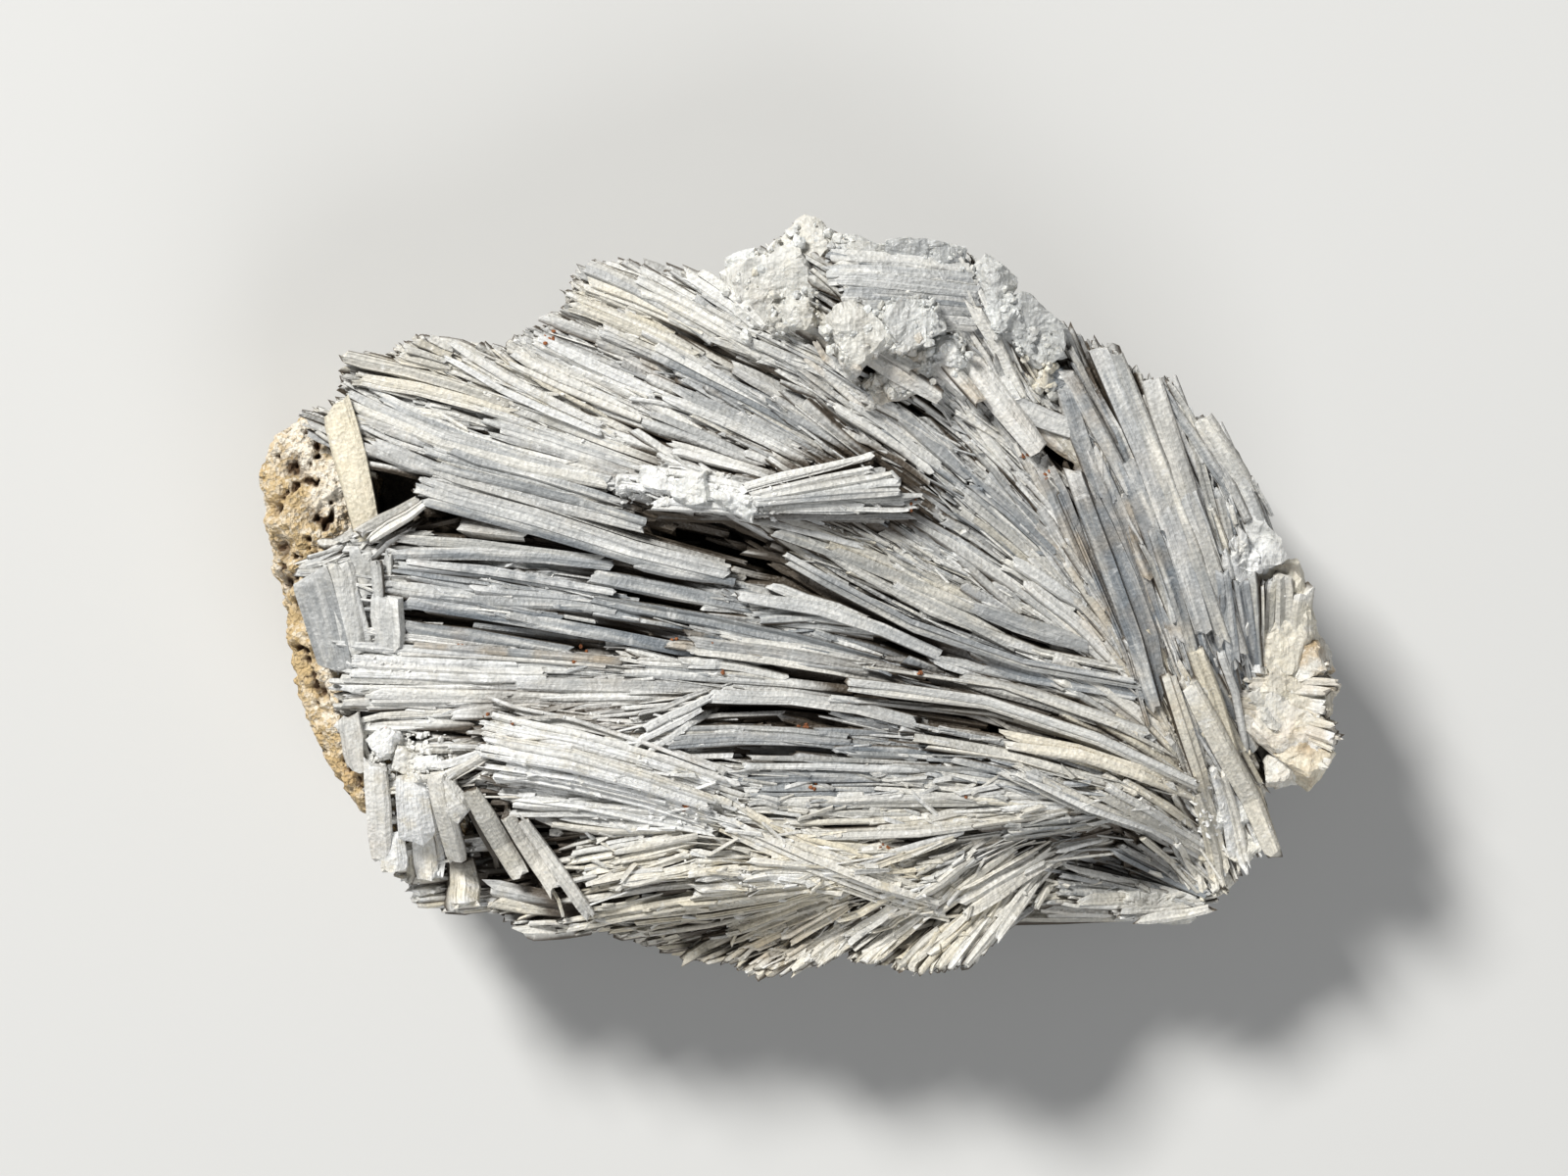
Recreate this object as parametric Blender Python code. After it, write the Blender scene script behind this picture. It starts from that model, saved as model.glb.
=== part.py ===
"""Edenite specimen: sprays of bladed crystals grown together, with a strip of matrix rock along one side.

The specimen lies on its broken-off flat back. +Z points up out of its face, +X runs along its length from
the matrix towards the crystals' main root, and the origin is under the middle of its bounding box, on the
surface that it lies on. Lengths in the tables are millimetres.
"""
import math
import random

import bmesh
import bpy
from mathutils import Matrix, Vector

MM = 0.001
SEED = 11
NODE_GAP = 0.35        # clearance between the crystals and the rock that they grow from
FACE_HEIGHT = 25.0     # of the crystal face above the flat back
COVER = 1.3            # how far the body lies below the crystals that clothe it
BODY_SEGMENTS = 36     # round the body
BODY_UNEVENNESS = 0.5  # how far the body's rings wander up and down

# Outline of the crystal part seen from above, anticlockwise from its corner beside the rock.
OUTLINE = [
    (-42.6, -25.5), (-41.0, -29.5), (-39.8, -31.3), (-35.5, -32.2), (-32.0, -32.3), (-29.0, -34.3),
    (-24.5, -34.9), (-21.0, -34.0), (-18.0, -35.2), (-13.0, -37.0), (-7.0, -38.4), (-3.5, -39.2),
    (0.0, -38.5), (4.0, -37.0), (8.0, -37.6), (12.0, -38.3), (17.3, -38.0), (21.0, -34.5),
    (23.0, -31.6), (31.0, -31.5), (34.5, -33.3), (37.5, -34.0), (42.8, -31.8), (44.0, -30.0),
    (46.4, -28.6), (48.3, -26.2), (49.2, -23.5), (47.8, -19.2), (51.5, -19.6), (54.0, -17.0),
    (56.2, -13.6), (54.6, -11.0), (55.6, -8.5), (53.6, -2.0), (50.0, 4.5), (46.8, 11.0),
    (42.4, 18.4), (40.2, 19.9), (38.2, 23.4), (35.0, 23.0), (33.0, 25.8), (29.4, 27.2),
    (26.0, 29.2), (21.5, 32.3), (17.0, 36.2), (12.0, 35.8), (6.0, 37.0), (0.8, 39.3),
    (-5.5, 35.3), (-7.5, 32.6), (-11.0, 34.3), (-16.0, 35.0), (-22.4, 35.2), (-24.3, 30.6),
    (-28.5, 27.8), (-31.0, 26.1), (-39.0, 27.4), (-42.0, 25.8), (-47.0, 25.6), (-47.4, 21.4),
    (-48.8, 19.6), (-48.0, 10.0), (-47.2, 3.0), (-46.0, -5.0), (-44.6, -12.0), (-43.4, -18.0),
]

# Half section of the body: share of the outline's radius, and share of the local height.
WALL_SECTION = [
    (0.42, 0.0), (0.78, 0.0), (0.89, 0.13), (0.945, 0.32), (0.95, 0.54), (0.915, 0.77), (0.84, 0.93),
]
TOP_RINGS = [0.66, 0.45, 0.22]

# Broad swellings and hollows of the face: centre, radii, height.
SWELLS = [
    (8.0, 30.0, 17.0, 9.0, 5.5),        # granular block along the far edge
    (-4.0, 11.0, 15.0, 4.5, 3.2),       # chalky sheaf across the middle
    (-22.0, -16.0, 13.0, 5.5, 2.6),     # thick bundle above the near left edge
    (38.0, 12.0, 10.0, 16.0, 1.6),      # long blades of the right side
    (50.0, -8.0, 6.0, 12.0, -3.5),      # knob at the right end falls away
    (45.0, -24.0, 9.0, 8.0, -5.0),
    (38.0, -30.0, 9.0, 5.0, -7.0),
    (28.0, -28.0, 10.0, 5.0, -6.0),
    (8.0, -35.0, 18.0, 5.0, -5.0),
    (-14.0, -36.0, 16.0, 5.0, -7.0),
    (-33.0, -28.0, 9.0, 6.0, -6.0),
    (-46.0, 22.0, 7.0, 8.0, -2.0),
    (18.0, -8.0, 16.0, 6.0, -1.5),
]

# Single crystals that stand out on the face: free end, buried end, width, lift of its upper face.
FACE_CRYSTALS = [
    # upper left, where the blades end free along the edge
    ((-47.0, 25.2), (-32.0, 21.8), 2.0, 0.4), ((-47.0, 23.4), (-31.0, 19.8), 1.9, 0.6),
    ((-46.8, 21.2), (-29.0, 18.2), 2.3, 0.2), ((-45.6, 19.0), (-28.0, 14.6), 2.0, 0.8),
    ((-44.6, 15.6), (-28.0, 12.4), 2.4, 0.3), ((-41.2, 26.2), (-33.0, 24.0), 2.6, 0.8),
    ((-36.2, 25.4), (-23.0, 20.2), 2.6, 0.3), ((-29.0, 25.2), (-18.0, 20.8), 2.2, 0.6),
    ((-23.2, 34.2), (-8.0, 27.6), 2.4, 0.7), ((-24.0, 31.4), (-11.0, 26.6), 2.3, 0.2),
    ((-18.6, 34.4), (-5.0, 27.0), 2.2, 0.5), ((-15.2, 34.4), (-2.6, 26.8), 2.2, 0.1),
    ((-11.0, 33.6), (-3.0, 27.6), 2.2, 0.6), ((-28.0, 27.4), (-16.0, 24.0), 2.4, 0.0),
    ((-22.0, 28.2), (-8.0, 24.2), 2.2, 0.9), ((-20.6, 24.6), (-8.0, 20.4), 2.3, 0.4),
    # upper middle
    ((-8.4, 27.2), (3.0, 18.6), 2.0, 0.7), ((-13.4, 21.4), (3.4, 14.0), 2.3, 0.8),
    ((-15.2, 18.8), (-1.0, 13.4), 2.1, 0.3), ((-13.2, 15.8), (-2.0, 12.4), 2.0, 1.0),
    ((5.8, 20.8), (17.0, 12.0), 2.2, 0.9), ((1.4, 26.0), (12.0, 16.0), 2.2, 0.2),
    ((-5.0, 25.6), (8.0, 16.8), 2.0, 0.3), ((-2.0, 21.6), (10.0, 13.4), 2.0, 0.0),
    ((-34.0, 21.0), (-18.0, 15.4), 2.2, 0.6), ((-31.0, 16.6), (-14.0, 11.6), 2.0, 0.2),
    # chalky sheaf that lies across the middle
    ((-17.2, 12.8), (-3.0, 10.6), 3.0, 1.6), ((-15.0, 10.8), (-1.0, 9.4), 2.4, 1.0),
    ((10.0, 12.8), (-4.0, 10.8), 3.0, 2.0), ((11.0, 10.6), (-2.0, 9.0), 2.2, 1.4),
    # long blades of the right side
    ((16.2, 32.0), (23.0, 20.4), 1.8, 2.4), ((26.2, 23.8), (34.0, 7.0), 2.2, 0.6),
    ((29.8, 26.6), (38.6, 6.0), 2.6, 1.0), ((33.0, 25.0), (42.0, 4.0), 2.8, 1.2),
    ((37.8, 22.8), (45.2, 7.0), 3.0, 0.8), ((41.8, 17.8), (47.2, 7.4), 2.4, 0.4),
    ((27.0, 17.8), (35.8, -10.0), 2.3, 1.4), ((30.2, 14.6), (42.2, -6.0), 2.1, 0.7),
    ((34.2, 14.0), (44.0, -6.4), 2.2, 0.9), ((39.2, 10.8), (45.0, -6.0), 2.0, 1.1),
    ((22.0, 21.2), (28.0, 17.6), 2.6, 1.3), ((20.6, 17.6), (29.0, 7.0), 2.1, 0.3),
    ((16.0, 22.8), (26.0, 11.6), 2.1, 0.4), ((43.6, 2.6), (45.4, -7.0), 1.8, 0.7),
    ((45.8, 2.4), (47.2, -8.0), 1.8, 0.9), ((50.4, 1.6), (50.4, -7.4), 4.4, 0.8),
    ((33.2, 4.2), (42.6, -10.0), 2.0, 0.8), ((35.4, -0.6), (39.4, -13.6), 2.0, 0.9),
    # main fan, which runs left from the root at the lower right
    ((15.6, 11.4), (28.4, 0.6), 2.1, 0.5), ((20.4, 4.8), (29.6, -1.4), 2.2, 0.9),
    ((12.4, 7.8), (26.0, -1.4), 2.0, 0.2), ((2.4, 8.4), (19.0, 1.0), 2.2, 1.0),
    ((-1.4, 4.6), (21.6, -6.6), 2.2, 1.5), ((8.2, 5.4), (25.0, -3.4), 2.0, 0.8),
    ((18.0, -0.4), (33.6, -6.6), 2.2, 1.0), ((-7.2, 1.6), (12.0, -2.8), 2.0, 0.8),
    ((-17.4, 4.0), (-2.6, 0.2), 2.1, 0.8), ((-20.0, 0.6), (0.4, -4.4), 2.3, 0.8),
    ((-11.0, -4.4), (11.8, -8.6), 2.1, 0.9), ((-4.8, -1.6), (12.0, -4.6), 1.8, 0.9),
    ((12.6, -8.4), (37.0, -17.0), 2.6, 1.8), ((14.6, -5.6), (33.0, -12.6), 2.0, 0.6),
    ((-39.6, 11.8), (-20.0, 6.4), 2.9, 1.4), ((-38.4, 13.6), (-20.0, 9.2), 2.2, 1.2),
    ((-45.0, 6.0), (-38.8, 9.6), 2.2, 2.0), ((-42.0, 5.6), (-21.0, 3.4), 2.0, 0.4),
    ((-41.8, 2.0), (-21.0, -1.0), 2.2, 0.4), ((-41.0, -0.8), (-19.0, -4.0), 1.9, 0.2),
    ((-41.0, -4.4), (-15.0, -6.2), 2.3, 0.8), ((-45.8, -6.8), (-28.0, -7.2), 2.6, 0.8),
    ((-43.6, -9.6), (-26.0, -9.8), 2.8, 0.6), ((-20.0, -6.0), (2.0, -8.0), 2.0, 0.4),
    ((-9.8, -9.6), (16.0, -12.4), 2.2, 0.8), ((-14.6, -13.4), (9.0, -14.6), 2.8, 0.6),
    ((-6.8, -16.6), (16.0, -17.0), 2.2, 0.4), ((-5.0, -19.2), (14.0, -19.6), 2.0, 0.3),
    # thick chalky bundle and the spray below it
    ((-31.6, -12.8), (-8.0, -18.6), 2.8, 1.6), ((-31.6, -15.0), (-8.6, -20.0), 2.9, 1.9),
    ((-30.6, -17.0), (-10.0, -21.0), 2.5, 1.0), ((-29.4, -21.0), (-12.0, -21.8), 1.8, 0.6),
    ((-23.0, -26.0), (-9.0, -23.4), 2.4, 1.2), ((-18.6, -29.0), (-8.0, -25.6), 2.2, 1.8),
    ((-11.0, -28.6), (0.0, -26.8), 2.6, 2.0), ((-24.0, -33.2), (2.6, -28.2), 2.3, 2.2),
    ((-6.2, -22.8), (12.0, -29.6), 1.9, 1.4), ((0.0, -21.6), (12.0, -20.8), 2.2, 0.5),
    # flat plates that lean over the gap at the near left corner
    ((-37.0, -27.4), (-37.6, -18.0), 2.8, 2.6), ((-33.0, -31.8), (-36.4, -18.6), 2.6, 1.8),
    ((-29.8, -27.6), (-34.2, -18.6), 2.2, 2.6), ((-25.4, -30.0), (-29.8, -21.4), 2.2, 2.8),
    ((-21.6, -32.4), (-28.0, -21.6), 1.9, 3.0), ((-40.2, -30.8), (-41.4, -20.0), 3.4, 0.6),
    # feathered edge
    ((-7.8, -33.8), (4.0, -29.2), 1.9, 1.8), ((-5.6, -35.6), (5.2, -31.0), 1.8, 1.4),
    ((-1.4, -37.6), (8.0, -31.2), 1.9, 1.4), ((4.6, -36.2), (12.0, -30.0), 2.0, 1.8),
    ((7.8, -37.4), (16.0, -29.4), 2.0, 1.8), ((12.0, -38.0), (20.0, -28.6), 2.0, 1.8),
    ((17.0, -37.8), (25.0, -27.6), 2.4, 1.8), ((10.0, -25.4), (24.0, -21.6), 2.0, 0.8),
    ((16.6, -23.2), (30.0, -21.0), 2.0, 0.9), ((20.6, -24.4), (31.0, -22.6), 2.2, 0.8),
    # root of the main fan and the small spray below it
    ((21.6, -16.8), (37.0, -24.0), 2.1, 1.8), ((29.0, -18.4), (42.0, -25.4), 2.2, 1.6),
    ((26.4, -28.2), (41.0, -30.4), 1.9, 1.4), ((32.0, -26.0), (41.6, -30.8), 1.9, 1.8),
    ((36.4, -25.4), (42.0, -30.6), 1.8, 1.9), ((44.0, -29.6), (41.0, -19.6), 2.6, 1.8),
    ((46.2, -28.0), (43.2, -18.4), 2.2, 1.6), ((48.4, -25.0), (40.6, -8.8), 2.8, 2.2),
    ((42.4, -17.4), (38.2, -7.8), 2.3, 1.6),
    # knob at the right end
    ((56.4, -13.4), (47.0, -10.6), 2.8, 1.4), ((55.8, -8.5), (46.0, -8.0), 3.0, 1.2),
    ((53.6, -17.0), (46.0, -11.6), 3.0, 1.0), ((51.2, -19.0), (47.2, -12.4), 2.8, 0.2),
    # plates that stand along the rock
    ((-47.6, 19.4), (-43.6, 2.0), 3.4, 0.6), ((-42.6, 5.0), (-42.0, -4.0), 2.0, 0.6),
    ((-49.6, 2.4), (-45.6, -5.6), 2.8, 0.9), ((-46.8, 4.4), (-43.8, -4.6), 2.4, 0.8),
]

# Blocky crystals of the granular part: centre, two sides, turn in degrees, top above the face.
BLOCKS = [
    (-2.6, 32.0, 8.6, 6.6, 24, 0.6), (1.0, 35.6, 6.0, 5.4, 38, 0.2), (6.6, 34.0, 7.4, 5.6, -14, 0.6),
    (12.4, 32.8, 9.4, 5.2, -8, 1.0), (17.6, 31.8, 6.6, 7.0, -38, 0.6), (23.6, 27.8, 7.2, 5.4, -42, 0.9),
    (5.6, 27.0, 5.4, 5.6, 36, 2.8), (11.0, 28.2, 5.2, 6.2, -62, 2.4), (11.2, 23.4, 6.4, 4.6, 24, 1.2),
    (15.0, 25.6, 4.4, 3.4, -36, 1.4), (-0.4, 29.4, 4.4, 3.6, 8, 1.6),
]

# Hollows sunk in the body between the crystals: centre, half sides, floor height, turn in degrees.
HOLLOWS = [
    (-42.2, 11.0, 2.6, 3.4, 13.0, 12), (-31.6, -24.6, 3.6, 5.6, 9.0, -28), (48.0, -16.6, 2.6, 2.6, 8.0, 20),
    (-13.6, -29.8, 4.0, 1.6, 8.0, 8),
]

# The rock strip: outer edge as stations (along, across) from its near end to its far end, and its pits.
ROCK_EDGE = [
    (-26.6, -43.4), (-25.0, -44.6), (-22.0, -46.2), (-18.2, -48.4), (-15.4, -50.2),
    (-10.0, -52.5), (-6.0, -53.2), (-2.0, -53.8), (2.4, -54.8), (6.4, -55.8),
    (10.0, -56.4), (13.6, -56.8), (17.4, -56.6), (19.6, -55.4), (20.8, -53.0),
]
ROCK_WIDTH = 13.0      # of the strip before the crystals are cut out of it
ROCK_TOP = 23.6
ROCK_DEPTH = 30.0      # far enough down for the floor to cut it flat
ROCK_SEGMENTS = 18     # round the strip
ROCK_ROUGHNESS = 0.45
FLOOR_SLAB = (200.0, 200.0, 40.0)   # cuts off what lies below the surface that the specimen rests on
ROCK_PITS = [
    (-52.4, 14.6, 24.2, 1.5), (-50.6, 8.8, 24.4, 1.6), (-55.4, 5.6, 19.6, 1.4), (-54.4, 1.2, 15.0, 1.4),
    (-51.4, -1.4, 24.0, 1.4), (-50.0, -6.8, 24.2, 1.3), (-47.2, -14.8, 23.6, 1.4), (-55.6, 11.4, 9.0, 1.5),
    (-52.6, -8.2, 12.0, 1.5),
]

RIM_LAYERS = [0.16, 0.38, 0.60, 0.82]   # heights of the crystal layers in the walls, shares of the face's
RIM_STEP = 10.0                         # spacing of the crystals along each layer
RIM_LENGTH = (11.0, 17.0)
RIM_WIDTH = (2.6, 3.8)
RIM_CLIMB = 1.5                         # how much higher a rim crystal's buried end lies than its free end
RIM_COVER = 3.0                         # least depth of the buried ends below the face
FLOOR_CLEARANCE = 0.9                   # least height of a rim crystal's underside above the floor

FACE_DEPTH = (0.55, 1.5)                # thickness of a face crystal: share of its width, and the rest
RIM_DEPTH = (0.6, 1.0)                  # the same for a rim crystal
FACE_DIP = 0.6                          # how far a face crystal's buried end sinks
FREE_END_SLANT = 0.35                   # rise of a crystal's broken end across its width, as a share of it
SIX_SIDED_FROM = 2.2                    # width from which a crystal is a six-sided prism
BLOCK_DEPTH = 9.0
BLOCK_TILT = 9.0                        # most that a block leans, in degrees
LEFT_OF_CRYSTALS_BY_ROCK = -36.0        # only crystals that start left of this line come near the rock
ROCK_SIDE_BAND = (-38.0, -26.0, 20.0)   # the walls left of this line, between these two, are hidden by rock


def swell(x, y, cx, cy, rx, ry, rise):
    """A smooth bell-shaped rise at a point."""
    return rise * math.exp(-(((x - cx) / rx) ** 2 + ((y - cy) / ry) ** 2))


def face_height(x, y):
    """Height of the crystal face above the flat back."""
    return FACE_HEIGHT + sum(swell(x, y, *bell) for bell in SWELLS)


def polar_outline():
    """The outline's corners as (angle, radius), in order of angle."""
    return sorted((math.atan2(y, x), math.hypot(x, y)) for x, y in OUTLINE)


def outline_radius(angle, corners):
    """Distance from the middle to the outline in a direction."""
    angle = (angle + math.pi) % (2 * math.pi) - math.pi
    before = (corners[-1][0] - 2 * math.pi, corners[-1][1])
    after = (corners[0][0] + 2 * math.pi, corners[0][1])
    ring = [before, *corners, after]
    for (a, near), (b, far) in zip(ring, ring[1:]):
        if a <= angle <= b:
            return near + (far - near) * (angle - a) / (b - a)
    return ring[0][1]


def grain_direction(x, y):
    """Direction, buried end to free end, that the crystals near a point have on average."""
    cosine = sine = 0.0
    nearest = (1e9, Vector((1.0, 0.0)))
    for tip, root, _, _ in FACE_CRYSTALS:
        run = Vector(tip) - Vector(root)
        along = max(0.0, min(1.0, (Vector((x, y)) - Vector(root)).dot(run) / run.length_squared))
        distance = (Vector((x, y)) - Vector(root) - run * along).length
        weight = 1 / (distance ** 2 + 4) ** 2
        doubled = 2 * math.atan2(run.y, run.x)
        cosine += weight * math.cos(doubled)
        sine += weight * math.sin(doubled)
        if distance < nearest[0]:
            nearest = (distance, run)
    half = math.atan2(sine, cosine) / 2
    mean = Vector((math.cos(half), math.sin(half)))
    return mean if mean.dot(nearest[1]) > 0 else -mean


def turn_about_z(shape, angle):
    """Turns a bmesh about the upright axis."""
    bmesh.ops.rotate(shape, cent=(0, 0, 0), matrix=Matrix.Rotation(angle, 3, "Z"), verts=shape.verts)


def new_object(name, shape, collection):
    """Puts a bmesh, in millimetres, into a named object in metres."""
    bmesh.ops.scale(shape, vec=(MM, MM, MM), verts=shape.verts)
    bmesh.ops.recalc_face_normals(shape, faces=shape.faces)
    mesh = bpy.data.meshes.new(name)
    shape.to_mesh(mesh)
    shape.free()
    made = bpy.data.objects.new(name, mesh)
    made.hide_render = collection.hide_render
    made.display_type = "WIRE" if collection.hide_render else "TEXTURED"
    collection.objects.link(made)
    return made


def helper_collection(name):
    """A collection of helper shapes, which no render shows."""
    made = bpy.data.collections.new(name)
    bpy.context.scene.collection.children.link(made)
    made.hide_render = True
    return made


def body_shape(grow, rng):
    """The solid mass that the crystals stand on: a globe whose rings follow the outline and the face."""
    shape = bmesh.new()
    rings = [(0.0, 0.0), *WALL_SECTION, *[(share, None) for share in TOP_RINGS], (0.0, None)]
    bmesh.ops.create_uvsphere(shape, u_segments=BODY_SEGMENTS, v_segments=len(rings) - 1, radius=1.0)
    corners = polar_outline()
    step = math.pi / (len(rings) - 1)
    for vertex in shape.verts:
        ring = round((math.asin(max(-1.0, min(1.0, vertex.co.z))) + math.pi / 2) / step)
        share, level = rings[ring]
        angle = math.atan2(vertex.co.y, vertex.co.x)
        radius = share * outline_radius(angle, corners) - COVER * (share > 0.5) + grow
        radius = max(radius, 0.0) if share else 0.0
        x, y = radius * math.cos(angle), radius * math.sin(angle)
        top = face_height(x, y) - COVER + grow
        if level is None:
            height = top + rng.uniform(-BODY_UNEVENNESS, BODY_UNEVENNESS)
        elif level == 0.0:
            height = 0.0
        else:
            height = level * top + rng.uniform(-BODY_UNEVENNESS, BODY_UNEVENNESS)
        vertex.co = (x, y, height)
    return shape


def crystal_shape(tip, root, width, thickness, sides=4, root_share=0.6):
    """One flat-faced crystal between two points: a prism, slimmer where buried, with a slanted free end."""
    run = Vector(tip) - Vector(root)
    shape = bmesh.new()
    bmesh.ops.create_cone(
        shape, cap_ends=True, cap_tris=False, segments=sides,
        radius1=root_share * math.sqrt(0.5), radius2=math.sqrt(0.5), depth=1.0,
    )
    turn_about_z(shape, math.pi / sides)
    bmesh.ops.translate(shape, vec=(0, 0, 0.5), verts=shape.verts)
    for vertex in shape.verts:
        slant = FREE_END_SLANT * vertex.co.x * width * (vertex.co.z > 0.5)
        vertex.co.z = vertex.co.z * run.length + slant
    bmesh.ops.scale(shape, vec=(width, thickness, 1.0), verts=shape.verts)
    along = run.normalized()
    across = along.cross(Vector((0, 0, 1))).normalized()
    frame = Matrix((across, across.cross(along) * -1, along)).transposed()
    bmesh.ops.rotate(shape, cent=(0, 0, 0), matrix=frame, verts=shape.verts)
    bmesh.ops.translate(shape, vec=root, verts=shape.verts)
    return shape


def face_crystals(collection, grow=0.0, left_of=None):
    """The crystals that stand out on the face, or only those left of a line, grown all round."""
    rng = random.Random(SEED)
    for number, (tip, root, width, lift) in enumerate(FACE_CRYSTALS):
        tilt = rng.uniform(0.1, 0.5)
        if left_of is not None and min(tip[0], root[0]) > left_of:
            continue
        thick = FACE_DEPTH[0] * width + FACE_DEPTH[1]
        free = (*tip, face_height(*tip) + lift + tilt - thick / 2)
        buried = (*root, face_height(*root) + lift / 3 - FACE_DIP - thick / 2)
        sides = 6 if width >= SIX_SIDED_FROM else 4
        shape = crystal_shape(free, buried, width + 2 * grow, thick + 2 * grow, sides)
        new_object(f"face_crystal_{number:03d}", shape, collection)


def rim_crystals(collection, grow=0.0, left_of=None):
    """Layers of crystals in the walls, each along the grain there, with its free end at the outline."""
    rng = random.Random(SEED + 1)
    corners = polar_outline()
    number = 0
    for layer, level in enumerate(RIM_LAYERS):
        angle = -math.pi + 0.05 * layer
        while angle < math.pi + 0.05 * layer:
            radius = outline_radius(angle, corners) * (0.985 - 0.10 * (level < 0.3) - 0.05 * (level > 0.7))
            outward = Vector((math.cos(angle), math.sin(angle)))
            edge = outward * (radius - 0.4)
            grain = grain_direction(*edge)
            length, width = rng.uniform(*RIM_LENGTH), rng.uniform(*RIM_WIDTH)
            rise, swing, sink = rng.uniform(-0.8, 0.8), rng.uniform(-0.12, 0.12), rng.uniform(0.0, 1.6)
            facing = grain.dot(outward)
            grain = Matrix.Rotation(swing, 2) @ (grain if facing > -0.3 else -grain)
            if abs(facing) > 0.3:
                tip = edge - outward * sink
            else:
                tip = edge - outward * (1.2 + sink) + grain * length / 2
            root = tip - grain * length
            height = level * face_height(*edge) * 0.96 + rise
            angle += RIM_STEP / radius
            beside_rock = edge.x < ROCK_SIDE_BAND[0] and ROCK_SIDE_BAND[1] < edge.y < ROCK_SIDE_BAND[2]
            if beside_rock or (left_of is not None and min(tip.x, root.x) > left_of):
                continue
            high = min(height + RIM_CLIMB, face_height(*root) - RIM_COVER)
            thick = RIM_DEPTH[0] * width + RIM_DEPTH[1]
            low = max(height, thick / 2 + FLOOR_CLEARANCE)
            shape = crystal_shape(
                (*tip, low), (*root, max(high, low)), width + 2 * grow, thick + 2 * grow, 4, 0.75
            )
            new_object(f"rim_crystal_{number:03d}", shape, collection)
            number += 1


def block_crystals(collection):
    """The blocky crystals of the granular part, sunk into the face."""
    rng = random.Random(SEED + 2)
    for number, (x, y, long, wide, turn, lift) in enumerate(BLOCKS):
        shape = bmesh.new()
        bmesh.ops.create_cube(shape, size=1.0)
        bmesh.ops.scale(shape, vec=(long, wide, BLOCK_DEPTH), verts=shape.verts)
        lean_x, lean_y = (math.radians(rng.uniform(-BLOCK_TILT, BLOCK_TILT)) for _ in range(2))
        tilt = Matrix.Rotation(lean_x, 3, "X") @ Matrix.Rotation(lean_y, 3, "Y")
        bmesh.ops.rotate(shape, cent=(0, 0, 0), matrix=tilt, verts=shape.verts)
        turn_about_z(shape, math.radians(turn))
        bmesh.ops.translate(shape, vec=(x, y, face_height(x, y) + lift - BLOCK_DEPTH / 2), verts=shape.verts)
        new_object(f"block_{number:02d}", shape, collection)


def hollow_cutters(collection):
    """Tapered wedges that sink the hollows between the crystals."""
    for number, (x, y, half_x, half_y, floor, turn) in enumerate(HOLLOWS):
        depth = FACE_HEIGHT + 12 - floor
        shape = bmesh.new()
        bmesh.ops.create_cone(shape, cap_ends=True, segments=4, radius1=0.9, radius2=1.7, depth=depth)
        turn_about_z(shape, math.pi / 4)
        bmesh.ops.scale(shape, vec=(half_x, half_y, 1.0), verts=shape.verts)
        turn_about_z(shape, math.radians(turn))
        bmesh.ops.translate(shape, vec=(x, y, floor + depth / 2), verts=shape.verts)
        new_object(f"hollow_{number}", shape, collection)


def edge_across(along):
    """Where the rock's outer edge lies across the specimen, at a place along the rock."""
    for (low, near), (high, far) in zip(ROCK_EDGE, ROCK_EDGE[1:]):
        if along <= high:
            return near + (far - near) * (along - low) / (high - low)
    return ROCK_EDGE[-1][1]


def rock_shape(rng):
    """The rock strip: a globe whose poles are the strip's ends, squared off in section and made craggy."""
    shape = bmesh.new()
    rings = len(ROCK_EDGE) + 1
    bmesh.ops.create_uvsphere(shape, u_segments=ROCK_SEGMENTS, v_segments=rings, radius=1.0)
    first, last = ROCK_EDGE[0][0], ROCK_EDGE[-1][0]
    for vertex in shape.verts:
        pole = vertex.co.z
        ring = round((math.asin(max(-1.0, min(1.0, pole))) / math.pi + 0.5) * rings)
        along = first + (last - first) * ring / rings
        angle = math.atan2(vertex.co.y, vertex.co.x)
        fullness = (1 - abs(pole) ** 5) ** 0.5
        corner = max(abs(math.cos(angle)), abs(math.sin(angle))) ** -0.6
        half = ROCK_WIDTH / 2
        x = edge_across(along) + half + half * fullness * corner * math.cos(angle)
        z = ROCK_TOP - ROCK_DEPTH / 2 + ROCK_DEPTH / 2 * (0.5 + 0.5 * fullness) * corner * math.sin(angle)
        shake = [rng.gauss(0, ROCK_ROUGHNESS) for _ in range(3)] if abs(pole) < 0.999 else (0, 0, 0)
        vertex.co = Vector((max(x, edge_across(along)), along, min(z, ROCK_TOP))) + Vector(shake)
    return shape


def combined(name, base, others, operation, solver="EXACT"):
    """The solid left when a Boolean joins a collection to a base object, or cuts it away."""
    modifier = base.modifiers.new(operation.lower(), "BOOLEAN")
    modifier.operation = operation
    modifier.operand_type = "COLLECTION"
    modifier.collection = others
    modifier.solver = solver
    graph = bpy.context.evaluated_depsgraph_get()
    mesh = bpy.data.meshes.new_from_object(base.evaluated_get(graph))
    bpy.data.objects.remove(base)
    made = bpy.data.objects.new(name, mesh)
    bpy.context.scene.collection.objects.link(made)
    return made


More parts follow.
